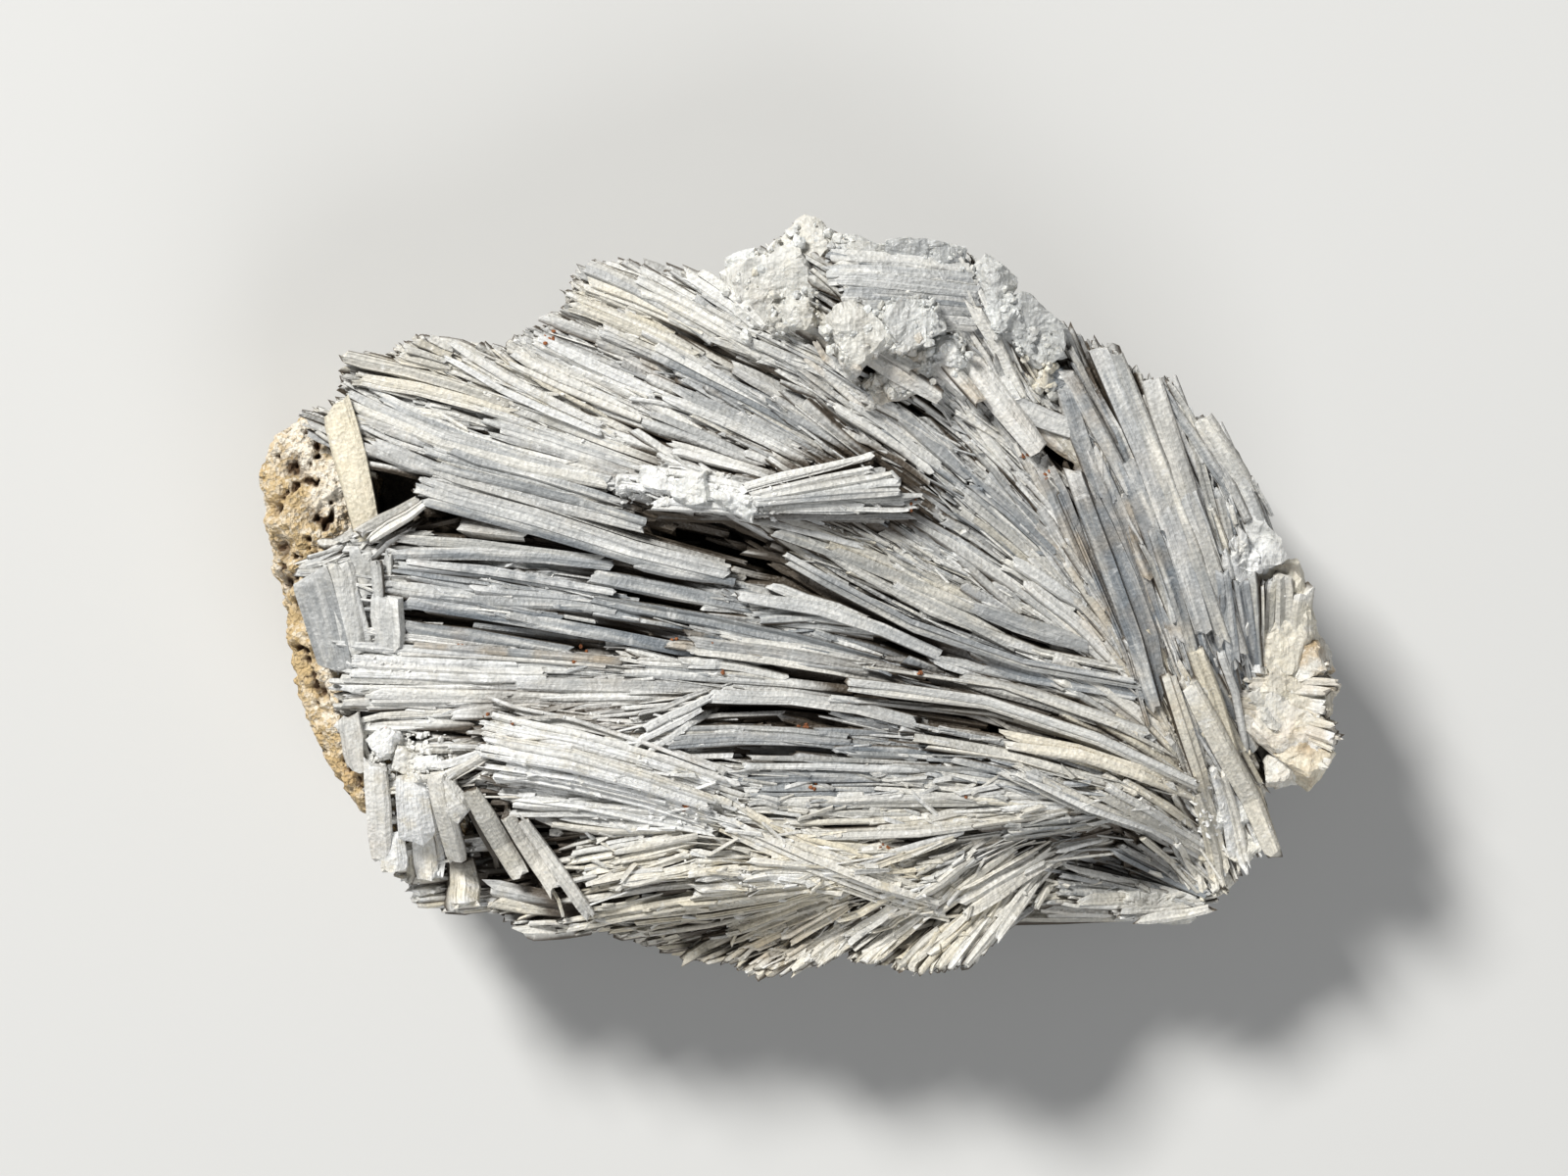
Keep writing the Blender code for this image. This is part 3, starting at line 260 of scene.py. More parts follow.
# Blocky crystals: centre, two sides, turn in degrees, top above the face.
BLOCKS = np.array([
    (-2.6, 32, 8.6, 6.6, 24, 0.6), (1, 35.6, 6, 5.4, 38, 0.2), (6.6, 35, 6.4, 3.6, -14, 0.2),
    (12.4, 35, 8.4, 2.8, -8, 0.4), (19, 31.8, 4.6, 6, -38, 0.4), (23.6, 27.8, 7.2, 5.4, -42, 0.9),
    (5.6, 27, 5.4, 5.6, 36, 2.4), (11, 28.2, 5, 5.6, -62, 2), (11.2, 23.4, 5.4, 4, 24, 1),
    (15, 25.6, 4, 3, -36, 1.2), (-0.4, 29.4, 4.4, 3.6, 8, 1.4), (-5, 34, 3, 3.4, 20, 0),
    (8.4, 21.8, 3.6, 2.8, 30, 0.8), (26, 22.8, 3.6, 3, -20, 0.8), (20.6, 29, 3, 3.4, -50, 0.8),
    (50, -1.6, 10.5, 5.8, -74, 0.7), (46.8, 6.8, 6, 3.4, -62, 0.5), (45, 4.4, 5, 3.6, -20, 1),
    (51.4, -9, 7.4, 5.4, -28, 1), (50.6, -13, 8.6, 5.4, -30, 1.1), (52, -15.8, 5.2, 4, -38, 0.7),
    (47.6, -10.4, 5.4, 4.2, -40, 0.9), (52.4, -5.6, 4, 4.6, 20, 0.6), (50, -17.2, 3.4, 3.2, 10, 0.2),
    (44.2, -21.6, 4.2, 3.4, 20, 0.8), (46.4, -24.4, 3.6, 4.2, -30, 0.5), (42, -25.4, 3.4, 3, 10, 0.6),
    (43.8, -28.6, 3.6, 3, 40, 0.4), (37.2, -32, 8, 2.6, -4, 0.2), (-41.8, -14.4, 3.2, 2.4, 30, 0.6),
    (-39.8, -15.9, 3.4, 2.6, -20, 0.9), (-37.6, -16.6, 2.8, 1.8, 10, 0.9),
    (-14.2, 12.1, 3.6, 2.4, -16, 1.5), (-10.6, 11.4, 4, 2.8, 12, 1.8), (-6.6, 10.6, 4.4, 2.6, -22, 1.7),
    (-17.2, 12.5, 2.6, 1.6, 4, 1.1),
])
FAR_BLOCKS = 15                                 # of them stand together at the far edge and carry crumbs
# The rock strip's outer edge as (along, across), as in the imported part.
ROCK_EDGE = np.array([
    (-26.6, -43.4), (-25, -44.6), (-22, -46.2), (-18.2, -48.4), (-15.4, -50.2), (-10, -52.5), (-6, -53.2),
    (-2, -53.8), (2.4, -54.8), (6.4, -55.6), (10, -55.8), (13.6, -56.2), (17.4, -56), (19.6, -55),
    (20.8, -53),
])


class Tone(Enum):
    """The crystals' tones, each with the part of the tone attribute that carries it."""

    CHALK = 0
    CREAM = 1
    SLATE = 2
    TAN = 3


# Where a tone gathers: centre, radii, turn in degrees, strength.
PATCHES: dict[Tone, list[tuple[float, ...]]] = {
    Tone.CHALK: [
        (-12, 11.8, 8, 2.6, -6, 1), (46, 4.6, 4.5, 2.4, -10, 1), (-6, -28.4, 9, 2.6, -4, 0.5),
        (-36, -22, 4, 6, 0, 0.5), (8, -33, 8, 3, 25, 0.3), (-38, -24, 6, 8, 0, 0.85),
        (40, -18, 4, 3, -20, 0.5), (42.2, -22.6, 2.8, 2.2, 0, 1), (33, -20, 3, 1.2, -15, 0.7),
        (-40.5, -6.5, 6, 3.2, 0, 1), (-31, 21.4, 5.5, 3, -15, 0.6), (-22, 21, 3.6, 5, 0, 0.5),
        (-40, -15.6, 4.6, 3.6, 0, 1), (-21, -17, 13, 4, -14, 1), (-14, -21.4, 5, 2, 0, 0.9),
        (-29, 2.6, 6, 1.4, -6, 0.5), (50.5, 0, 3, 6, 0, 0.15), (-2, -24.4, 6, 1.4, -24, 0.7),
        (34, -14.4, 5, 1.4, -25, 0.5), (51, -12, 4, 4, 0, 0.35), (-4, 9.6, 3.4, 1.8, 0, 1),
        (11, -29.6, 4, 1.6, -20, 0.5), (-20, -11.6, 9, 1.4, -8, 0.6),
    ],
    Tone.CREAM: [
        (12, -34, 9, 4, 25, 0.9), (-14, -29, 9, 4, 0, 0.8), (-24, -30, 9, 3, -8, 0.7),
        (0, -27, 42, 9, 2, 0.4), (-4, -30, 18, 7, 8, 1), (35, -14, 8, 8, -20, 0.8), (-40, -24, 8, 9, 0, 1),
        (-34, -30, 6, 4, 0, 0.8), (50.2, -2, 3, 6, 0, 0.8), (52, -12, 5, 6, 0, 0.7),
        (39, -14, 5, 8, 10, 0.7), (20, -25, 8, 4, 20, 0.5), (50, -4, 3, 6, 0, 0.5), (42, -24, 5, 6, 0, 0.5),
        (30, -16, 10, 4, -20, 0.8), (-10, -24, 8, 3, -10, 0.5), (51.4, -12.6, 5, 5, 0, 0.35),
        (-34, 23, 14, 3, -12, 0.6), (-6, -30, 12, 3, 8, 0.8), (3, -34, 9, 3, 20, 0.7),
        (5, 4.6, 9, 2.4, -20, 0.7), (43.6, -13, 2, 6, 25, 1), (-45.6, 14, 2.4, 6, 12, 0.7),
        (-36, -22, 4, 8, 0, 0.6), (-17, 30, 8, 3, -28, 0.5), (24.6, 22.8, 3, 2, 0, 0.8),
        (-1, 33, 6, 5, 0, 0.2), (43, 8, 1.8, 2, 0, 1), (-25, -15, 9, 2, -14, 0.6), (52, -8, 4, 3, 0, 0.5),
        (21, 6, 7, 2, -40, 0.4),
    ],
    # The slate patches over the right blades at (33, 9), (34, 10) and (40, 1) are partly painted shade: slate
    # tone that also darkens those blades for the shade between them.
    Tone.SLATE: [
        (-8, -2, 26, 7, -8, 0.48), (-25, 0, 16, 6, -6, 0.85), (8, 0, 12, 6, -15, 0.55),
        (33, 9, 7, 14, 22, 1), (35, -13, 7, 6, -20, 0.45), (26, -6, 12, 10, -20, 0.25),
        (43, 8, 6, 12, 28, 0.70), (18, 10.4, 9, 4, -38, 0.75), (-30, -2.4, 11, 1.6, -8, 0.8),
        (38.5, -2.5, 3.2, 6, 28, 0.8), (31, 3, 2.6, 8, 22, 0.8), (8, -4, 9, 3, -20, 1),
        (2, -13.4, 9, 3, -4, 1), (-8.6, 4.2, 6, 2, -15, 0.9), (38.6, 7, 3.4, 9, 18, 0.8),
        (20, -17.2, 12, 2.4, -10, 0.7), (-9, -4.2, 8, 2, -8, 0.7), (10, 32.2, 8.5, 3.2, -6, 0.65),
        (24, 27.6, 4.6, 4, -40, 0.4), (-48, 0, 2.6, 5.6, 10, 0.4), (1, -18.4, 9, 2.6, 0, 0.8),
        (-28, 6.4, 9, 2, -10, 0.7), (-31, 14.4, 8, 2, -14, 0.6), (-8, 22, 8, 3, -28, 0.6),
        (5.6, 11, 5, 1.8, 5, 0.4), (34, 10, 5, 11, 24, 0.9), (40, 1, 4, 11, 24, 0.9),
        (26, -23.6, 5, 1.6, 6, 0.9), (34, -28.6, 5, 3, 0, 0.8), (43, 16, 3, 7, 28, 0.5),
        (46, -3, 3, 3, 0, 0.4), (-24, -3, 9, 1.6, -8, 0.5), (31, 4, 3, 9, 20, 0.6),
        (14, -27, 6, 2, 25, 0.4),
    ],
    Tone.TAN: [
        (-12, -3.8, 3, 1, -8, 0.8), (-30, -4.4, 8, 1.2, -6, 0.5), (-26, -11.8, 8, 1.2, -4, 0.6),
        # (10, 23.6) is painted shadow, tinted tan, under the blocky crystals; the tan at (48.4, -16) on the
        # next line is partly painted shade in the knob's cavity.
        (26, 15, 3, 3, 0, 0.7), (10, 23.6, 5, 2.6, 10, 0.7), (49.6, -6.2, 3, 1.6, -35, 1),
        (48.4, -16, 2.4, 2.6, 0, 0.6), (-37.4, -25, 1.6, 4, 0, 0.5), (-44.6, -20, 2.6, 7, 4, 0.75),
        (51, -11, 5, 7, 0, 0.65), (32, 9, 6, 12, 22, 0.35), (36, -14, 6, 6, -20, 0.25),
        (-2, -35, 6, 2, 20, 0.5), (30, 0, 2, 8, 18, 0.4), (-38, -13, 4, 1.4, 0, 0.6),
    ],
}


def hashed(cells: Array, seed: int) -> Array:
    """Random numbers in 0..1 for whole-number cells, from mixed products of their coordinates.

    Args:
        cells: whole numbers, with the coordinates on the last axis.
        seed: picks one of many number fields.

    Returns:
        One number for each cell.
    """
    mixed = np.full(cells.shape[:-1], seed * 2654435761 % (1 << 31), np.int64)
    for axis, prime in zip(range(cells.shape[-1]), (73856093, 19349663, 83492791)):
        mixed = (mixed ^ (cells[..., axis] * prime)) & 0x7FFFFFFF
        mixed = (mixed * 1274126177 + 12345) & 0x7FFFFFFF
        mixed ^= mixed >> 13
    return mixed / 0x7FFFFFFF


def value_noise(points: Array, seed: int, octaves: int = 1) -> Array:
    """Smooth noise in about -1..1: lattice numbers blended with eased weights, halved at each octave.

    Args:
        points: positions in lattice units, coordinates last.
        seed: the field to read.
        octaves: how many fields are added, each twice as fine and half as strong.

    Returns:
        The noise at each position.
    """
    total = np.zeros(points.shape[:-1])
    for octave in range(octaves):
        scaled = points * 2.0 ** octave + 17.3 * octave
        cell = np.floor(scaled).astype(np.int64)
        part = scaled - cell
        eased = part * part * (3 - 2 * part)
        for corner in np.ndindex(*(2,) * points.shape[-1]):
            chosen = np.array(corner)
            weight = np.prod(np.where(chosen, eased, 1 - eased), axis=-1)
            total += weight * (hashed(cell + chosen, seed + octave) * 2 - 1) / 2 ** octave
    return total


def unit(vectors: Array) -> Array:
    """The vectors at length one."""
    return vectors / np.maximum(np.linalg.norm(vectors, axis=-1, keepdims=True), 1e-9)


def square_to(vectors: Array) -> Array:
    """Directions in plan, a quarter turn to the left of the given ones."""
    return np.stack([-vectors[..., 1], vectors[..., 0]], -1)


def turned(xy: Array, angle: Array) -> Array:
    """Places in plan turned about the origin by angles in radians: x cos - y sin, and x sin + y cos."""
    cosine, sine = np.cos(angle), np.sin(angle)
    return np.stack([xy[..., 0] * cosine - xy[..., 1] * sine, xy[..., 0] * sine + xy[..., 1] * cosine], -1)


def lifted(plan: Array, height: Array) -> Array:
    """Places in plan with their heights as the third coordinate."""
    return np.concatenate([plan, height[..., None]], -1)


def strung(middle: Array, grain: Array, length: Array, share: Array) -> Array:
    """Points along straight crystals in plan, at shares of their length from their middles."""
    return middle[:, None] + grain[:, None] * (length[:, None] * share)[..., None]


def rock_edge(along: Array) -> Array:
    """Where the rock strip's outer edge lies, straight between its corners."""
    return np.interp(along, *ROCK_EDGE.T)


def segments_of(strokes: Sequence[Stroke]) -> tuple[Array, Array, Array]:
    """The straight runs of a list of strokes.

    Args:
        strokes: rows of two numbers and then points.

    Returns:
        The runs' first points, their last points, and the number of the stroke that each belongs to.
    """
    runs = [(a, b, n) for n, (_, _, *points) in enumerate(strokes) for a, b in zip(points, points[1:])]
    first, last, owner = zip(*runs)
    return np.array(first), np.array(last), np.array(owner)


def distance_to_runs(points: Array, first: Array, last: Array) -> Array:
    """Distance in plan from each point to each run: to the perpendicular's foot, held between the run's ends.

    Args:
        points: positions, two coordinates each.
        first: the runs' first points.
        last: the runs' last points.

    Returns:
        A table with a row for each point and a column for each run.
    """
    run = last - first
    offset = points[:, None] - first
    along = np.clip((offset * run).sum(-1) / (run ** 2).sum(-1), 0, 1)
    return np.linalg.norm(offset - along[..., None] * run, axis=-1)


@dataclass
class Terrain:
    """The shape of the specimen as heights and distances, which every sub-assembly reads."""

    face_height: float = 25.0
    relief: float = 0.7                 # rise and fall from one bundle to the next
    bundle_width: float = 4.2           # at the bundle radius from the blades' root
    bundle_radius: float = 50.0
    bundle_length: float = 22.0
    flow_blur: float = 2.6              # how far a traced blade steers its neighbours
    rock_low: float = -25.0             # the rock strip's near end, far end and inner side
    rock_high: float = 20.0
    rock_side: float = -40.0
    grain_from: Array = field(init=False)
    grain_to: Array = field(init=False)

    def __post_init__(self) -> None:
        """Reads the traced blades once, as straight runs that steer the grain."""
        strokes = [*LEFT_FAN, *UPPER_FAN, *RIGHT_BLADES, *CENTRE, *LOWER_SPRAYS, *FRINGE, *ROOT_SPRAY, *KNOB]
        self.grain_to, self.grain_from, _ = segments_of(strokes)
        corners = np.column_stack([np.arctan2(OUTLINE[:, 1], OUTLINE[:, 0]), np.hypot(*OUTLINE.T)])
        self.corners = corners[np.argsort(corners[:, 0])]
        self.groove_from, self.groove_to, rows = segments_of(GROOVES)
        self.groove_size = np.array([(width, depth) for width, depth, *_ in GROOVES])[rows]

    def face(self, xy: Array) -> Array:
        """Height of the broad face at places in plan: a level with bell-shaped swellings and hollows."""
        gap = (xy[..., None, :] - SWELLS[:, :2]) / SWELLS[:, 2:4]
        return self.face_height + (SWELLS[:, 4] * np.exp(-(gap ** 2).sum(-1))).sum(-1)

    def bundles(self, xy: Array) -> Array:
        """Relief of the bundles: noise that is long along the rays from the blades' root and narrow across.

        Args:
            xy: places in plan.

        Returns:
            The rise or fall at each place.
        """
        ray = xy - np.array(MAIN_ROOT)
        angle = np.arctan2(ray[..., 1], ray[..., 0])
        across = angle * self.bundle_radius / self.bundle_width
        table = np.stack([across, np.linalg.norm(ray, axis=-1) / self.bundle_length], axis=-1)
        return self.relief * value_noise(table, 5, 2)

    def groove(self, xy: Array) -> Array:
        """Depth of the dark grooves: a bell across each traced groove, the deepest winning.

        Args:
            xy: places in plan.

        Returns:
            The depth at each place, nought away from the grooves.
        """
        away = distance_to_runs(xy.reshape(-1, 2), self.groove_from, self.groove_to)
        bell = self.groove_size[:, 1] * np.exp(-((away / (0.62 * self.groove_size[:, 0])) ** 2))
        return bell.max(-1).reshape(xy.shape[:-1])

    def edge(self, angle: Array) -> Array:
        """Distance from the middle to the outline in each direction, straight between its corners."""
        return np.interp(angle, *self.corners.T, period=2 * np.pi)

    def reach(self, xy: Array) -> tuple[Array, Array]:
        """Distance from the middle to each place, and to the outline in the same direction."""
        return np.hypot(xy[..., 0], xy[..., 1]), self.edge(np.arctan2(xy[..., 1], xy[..., 0]))

    def inside(self, xy: Array, margin: float = 0.0) -> Array:
        """Whether places in plan lie inside the outline by the margin, or over the rock's inner half.

        Args:
            xy: places in plan.
            margin: least distance to the outline.

        Returns:
            A mask with one value for each place.
        """
        away, edge = self.reach(xy)
        x, y = xy[..., 0], xy[..., 1]
        beside = (y > self.rock_low) & (y < self.rock_high) & (x < self.rock_side)
        return (away < edge - margin) | (beside & (x > rock_edge(y) + 3.6))

    def clear_of_rock(self, xy: Array, margin: float) -> Array:
        """Whether places keep the margin from the rock's outer edge, or lie past the ends of the strip."""
        x, y = xy.T
        return (x > rock_edge(y) + margin) | (y < self.rock_low) | (y > self.rock_high - 1)

    def grain(self, xy: Array) -> Array:
        """Direction in plan from buried to free end: doubled angles of the traced runs, averaged by nearness.

        Args:
            xy: places in plan.

        Returns:
            A unit vector for each place.
        """
        away = distance_to_runs(xy, self.grain_from, self.grain_to)
        weight = 1 / (away ** 2 + self.flow_blur ** 2) ** 2
        run = self.grain_to - self.grain_from
        doubled = 2 * np.arctan2(run[:, 1], run[:, 0])
        half = np.arctan2((weight * np.sin(doubled)).sum(1), (weight * np.cos(doubled)).sum(1)) / 2
        mean = np.stack([np.cos(half), np.sin(half)], -1)
        nearest = run[away.argmin(1)]
        return mean * np.where((mean * nearest).sum(-1, keepdims=True) < 0, -1.0, 1.0)


def tone_weights(xy: Array, rng: np.random.Generator, spread: float) -> Array:
    """How much of each tone a place has: turned bell-shaped patches, made uneven from crystal to crystal.

    Args:
        xy: places in plan.
        rng: source of the unevenness.
        spread: how uneven.

    Returns:
        Four weights in 0..1 for each place, in the order of Tone.
    """
    weights = np.zeros((*xy.shape[:-1], len(Tone)))
    for tone, patches in PATCHES.items():
        rows = np.array(patches)
        gap = turned(xy[..., None, :] - rows[:, :2], -np.radians(rows[:, 4])) / rows[:, 2:4]
        bell = rows[:, 5] * np.exp(-(gap ** 2).sum(-1) ** 1.5 / 1.4)
        weights[..., tone.value] = bell.max(-1)
    uneven = weights * (1 + spread * rng.normal(size=weights.shape))
    return np.clip(uneven + rng.normal(size=weights.shape) * (0.10, 0.14, 0.14, 0.05), 0, 1)


def mesh_piece(name: str, points: Array, polygons: Sequence[Array], smooth: bool = False) -> bpy.types.Object:
    """Puts points and polygons into a new object whose place is in its mesh.

    Args:
        name: the piece's name.
        points: corners in millimetres.
        polygons: tables of corner numbers, one table for each number of sides.
        smooth: whether the faces are shaded smooth.

    Returns:
        The new object.
    """
    mesh = bpy.data.meshes.new(name)
    sizes = np.concatenate([np.full(len(table), table.shape[1]) for table in polygons])
    loops = np.concatenate([table.ravel() for table in polygons])
    mesh.vertices.add(len(points))
    mesh.vertices.foreach_set("co", (points * MM).astype(np.float32).ravel())
    mesh.loops.add(len(loops))
    mesh.loops.foreach_set("vertex_index", loops.astype(np.int32))
    mesh.polygons.add(len(sizes))
    mesh.polygons.foreach_set("loop_start", np.concatenate([[0], np.cumsum(sizes)[:-1]]).astype(np.int32))
    mesh.polygons.foreach_set("use_smooth", np.full(len(sizes), smooth))
    mesh.update(calc_edges=True)
    mesh.validate()
    made = bpy.data.objects.new(name, mesh)
    bpy.context.scene.collection.objects.link(made)
    return made


def give_attribute(piece: bpy.types.Object, name: str, kind: str, values: Array) -> None:
    """Stores a value at every corner of a piece, for its material.

    Args:
        piece: the piece.
        name: the attribute's name.
        kind: FLOAT, FLOAT_VECTOR or FLOAT_COLOR.
        values: one row for each corner.
    """
    made = piece.data.attributes.new(name, kind, "POINT")
    field_name = {"FLOAT": "value", "FLOAT_VECTOR": "vector", "FLOAT_COLOR": "color"}[kind]
    made.data.foreach_set(field_name, values.astype(np.float32).ravel())


class Habit(Enum):
    """Sections of a crystal, as shares of its width and thickness, from its right edge over the top."""

    BLADE = (
        (0.50, 0.20), (0.43, 0.43), (0.14, 0.44), (-0.13, 0.50), (-0.43, 0.42), (-0.50, 0.16), (-0.37, -0.50),
        (0.37, -0.50),
    )
    ROD = ((0.50, 0.05), (0.30, 0.43), (-0.20, 0.50), (-0.50, 0.02), (-0.34, -0.50), (0.34, -0.50))
    SPLINTER = ((0.50, -0.10), (0.14, 0.50), (-0.42, 0.24), (-0.30, -0.50), (0.34, -0.50))


@dataclass
class Blades:
    """Many slim crystals: the middle line, width, thickness, roll, tones and painted shade of each."""

    paths: Array                        # blade, station, coordinate
    width: Array
    depth: Array
    roll: Array
    tones: Array
    jag: float = 0.55                   # roughness of the broken ends, as a share of the width
    seam: float = 1.8                   # how fast painted shade grows down the sides, where neighbours touch
    cleft: float = 1.0                  # how much painted shade the depth among the face's crystals gives them
    taper: float = 0.42                 # greatest narrowing towards the free end
    habit: Habit = Habit.BLADE

    def chosen(self, keep: Array) -> "Blades":
        """Only the blades that a mask keeps."""
        columns = ("paths", "width", "depth", "roll", "tones")
        return replace(self, **{column: getattr(self, column)[keep] for column in columns})

    def corners(self, rng: np.random.Generator) -> tuple[Array, Array, Array]:
        """Carries each blade's ridged section along its middle line, with stepped sides and jagged ends.

        A corner is the middle line's point, plus the section's first coordinate times the width along the
        level direction square to the line, plus its second times the thickness along the third direction.

        Args:
            rng: source of each blade's own shape.

        Returns:
            The corners by blade, station and side, the point of each free end, and each blade's section.
        """
        count, stations, _ = self.paths.shape
        sides = len(self.habit.value)
        tangent = unit(np.gradient(self.paths, axis=1))
        level = np.cross(tangent, (0.0, 0.0, 1.0))
        upright = np.linalg.norm(level, axis=-1, keepdims=True) < 0.05
        level = unit(np.where(upright, (1.0, 0.0, 0.0), level))
        third = np.cross(level, tangent)
        cosine, sine = np.cos(self.roll)[:, None, None], np.sin(self.roll)[:, None, None]
        level, third = level * cosine + third * sine, third * cosine - level * sine
        section = np.array(self.habit.value) + rng.normal(0, 0.055, (count, sides, 2))
        share = np.linspace(0, 1, stations)
        narrowing = 1 - rng.uniform(0.0, self.taper, (count, 1)) * share ** 3
        swell = (0.72 + 0.34 * np.sin(np.pi * (0.12 + 0.62 * share))) * narrowing
        swell = swell * (1 + rng.normal(0, 0.18 * self.taper, (count, stations)))
        size = np.stack([self.width, self.depth], -1)[:, None] * swell[..., None]
        spread = section[:, None] * size[:, :, None]
        points = self.paths[:, :, None] + level[:, :, None] * spread[..., :1]
        points = points + third[:, :, None] * spread[..., 1:]
        reach = (self.jag * np.minimum(self.width, 1.2))[:, None, None]
        slant = rng.normal(0, 0.9, (count, 1, 1)) * section[:, :, :1] * reach
        points[:, -1] += tangent[:, -1, None] * (rng.normal(0, 0.45, (count, sides, 1)) * reach + slant)
        points[:, 0] += tangent[:, 0, None] * rng.normal(0, 0.5, (count, sides, 1)) * reach
        points[..., 2] = np.clip(points[..., 2], 0.05, TOP_LIMIT)
        tips = points[:, -1].mean(1) + tangent[:, -1] * rng.normal(0, 0.35, (count, 1)) * reach[:, 0]
        tips[:, 2] = np.clip(tips[:, 2], 0.05, TOP_LIMIT)
        return points, tips, section

    def faces(self) -> list[Array]:
        """Quads along each blade, triangles to the point of its free end, and a cap on its buried end.

        Returns:
            Tables of corner numbers.
        """
        count, stations, _ = self.paths.shape
        sides = len(self.habit.value)
        start = np.arange(count)[:, None, None] * stations * sides
        ring = start + np.arange(stations - 1)[None, :, None] * sides
        here, after = np.arange(sides), (np.arange(sides) + 1) % sides
        quads = np.stack([ring + here, ring + sides + here, ring + sides + after, ring + after], -1)
        last = start[:, 0] + (stations - 1) * sides
        peak = np.broadcast_to(count * stations * sides + np.arange(count)[:, None], (count, sides))
        fans = np.stack([last + after, last + here, peak], -1)
        return [quads.reshape(-1, 4), fans.reshape(-1, 3), start[:, 0] + here]

    def piece(self, name: str, rng: np.random.Generator, crevice: "Crevices") -> bpy.types.Object:
        """Makes the mesh of all the blades, with the attributes that their finish reads.

        Args:
            name: the piece's name.
            rng: source of each blade's own shape.
            crevice: tells how deep each corner lies among its neighbours.

        Returns:
            The piece.
        """
        points, tips, section = self.corners(rng)
        count, stations, sides, _ = points.shape
        made = mesh_piece(name, np.concatenate([points.reshape(-1, 3), tips]), self.faces())
        step = np.linalg.norm(np.diff(section, axis=1, prepend=section[:, :1]) * [1.0, 0.6], axis=-1)
        around = np.cumsum(step, 1)[:, None] * self.width[:, None, None]
        length = np.linalg.norm(np.diff(self.paths, axis=1, prepend=self.paths[:, :1]), axis=-1)
        along = np.cumsum(length, 1)[..., None]
        own = np.arange(count)[:, None, None] * 7.31
        fibre = np.stack(np.broadcast_arrays(around, along, own), -1)
        fibre = np.concatenate([fibre.reshape(-1, 3), fibre[:, -1].mean(1)])
        tones = np.repeat(self.tones, stations * sides, 0).reshape(count, stations, sides, len(Tone))
        tones[:, -1, :, Tone.CHALK.value] += rng.uniform(0.0, 0.7, (count, 1))
        tones = np.clip(np.concatenate([tones.reshape(-1, len(Tone)), self.tones]), 0, 1)
        luck = rng.random(count)
        # Painted shade: darker where a corner lies deep among its neighbours and down each blade's lower
        # sides, where neighbours would hide it; less on chalky blades.
        painted_side_shade = np.clip((0.43 - np.array(self.habit.value)[:, 1]) * self.seam, 0, 1)
        chalk_shade_factor = 1 - 0.70 * self.tones[:, Tone.CHALK.value]
        depth = (self.cleft * crevice.at(points) + painted_side_shade) * chalk_shade_factor[:, None, None]
        depth = np.append(depth, self.cleft * crevice.at(tips))
        give_attribute(made, "fibre", "FLOAT_VECTOR", fibre)
        give_attribute(made, "tones", "FLOAT_COLOR", tones)
        give_attribute(made, "luck", "FLOAT", np.concatenate([np.repeat(luck, stations * sides), luck]))
        give_attribute(made, "crevice", "FLOAT", np.clip(depth, 0, 1))
        return made


@dataclass
class Crevices:
    """How deep a point lies below what is around it: a map of the highest crystal in each small square."""

    terrain: Terrain
    cell: float = 0.5
    half_x: float = 60.0
    half_y: float = 44.0
    reach: int = 3                      # squares each way that count as neighbours
    free_depth: float = 0.28            # depth that still gets no painted shade
    full_depth: float = 1.9             # depth at which the painted shade in a crevice is at its darkest
    rim: float = 4.0                    # width of the edge with less painted shade

    def __post_init__(self) -> None:
        """Starts with an empty map."""
        self.map = np.zeros((int(2 * self.half_x / self.cell), int(2 * self.half_y / self.cell)))

    def squares(self, xy: Array) -> tuple[Array, Array]:
        """The map squares that places fall in.

        Args:
            xy: the places, with a height or without.

        Returns:
            The squares' columns and rows.
        """
        column = np.clip(((xy[..., 0] + self.half_x) / self.cell).astype(int), 0, self.map.shape[0] - 1)
        row = np.clip(((xy[..., 1] + self.half_y) / self.cell).astype(int), 0, self.map.shape[1] - 1)
        return column, row

    def add(self, paths: Array) -> None:
        """Raises the map to blades' middle lines, read at close steps.

        Args:
            paths: middle lines of blades.
        """
        steps = np.linspace(0, 1, 9)[:, None]
        line = paths[:, :-1, None] + np.diff(paths, axis=1)[:, :, None] * steps
        np.maximum.at(self.map, self.squares(line), line[..., 2])

    def settle(self) -> None:
        """Keeps the heights as the tops, then gives each square the mean of the highest squares near it."""
        self.tops = self.map
        widest = self.map.copy()
        for shift in np.ndindex(2 * self.reach + 1, 2 * self.reach + 1):
            widest = np.maximum(widest, np.roll(self.map, np.array(shift) - self.reach, (0, 1)))
        for axis in (0, 1):
            widest = sum(np.roll(widest, move, axis) for move in range(-2, 3)) / 5
        self.map = widest

    def at(self, points: Array) -> Array:
        """Depth of points below their surroundings, as 0..1 and less near the outline.

        Args:
            points: positions.

        Returns:
            One number for each point.
        """
        depth = (self.map[self.squares(points)] - points[..., 2] - self.free_depth) / self.full_depth
        away, edge = self.terrain.reach(points)
        return np.clip(depth, 0, 1) * np.clip((edge - away) / self.rim, 0.25, 1)


@dataclass(frozen=True)
class Litter:
    """Sizes of one kind of small crystal that lies on the long ones."""

    spacing: float = 1.15               # distance between neighbours
    swing: float = 0.22                 # spread of its direction about the grain, in radians
    lengths: tuple[float, float] = (0.8, 4.2)
    widths: tuple[float, float] = (0.20, 0.62)
    depths: tuple[float, float] = (0.30, 0.60)
    lift: float = 0.34                  # most that one lies above the long crystals
    far_end: float = 60.0               # they lie on the near side of this line


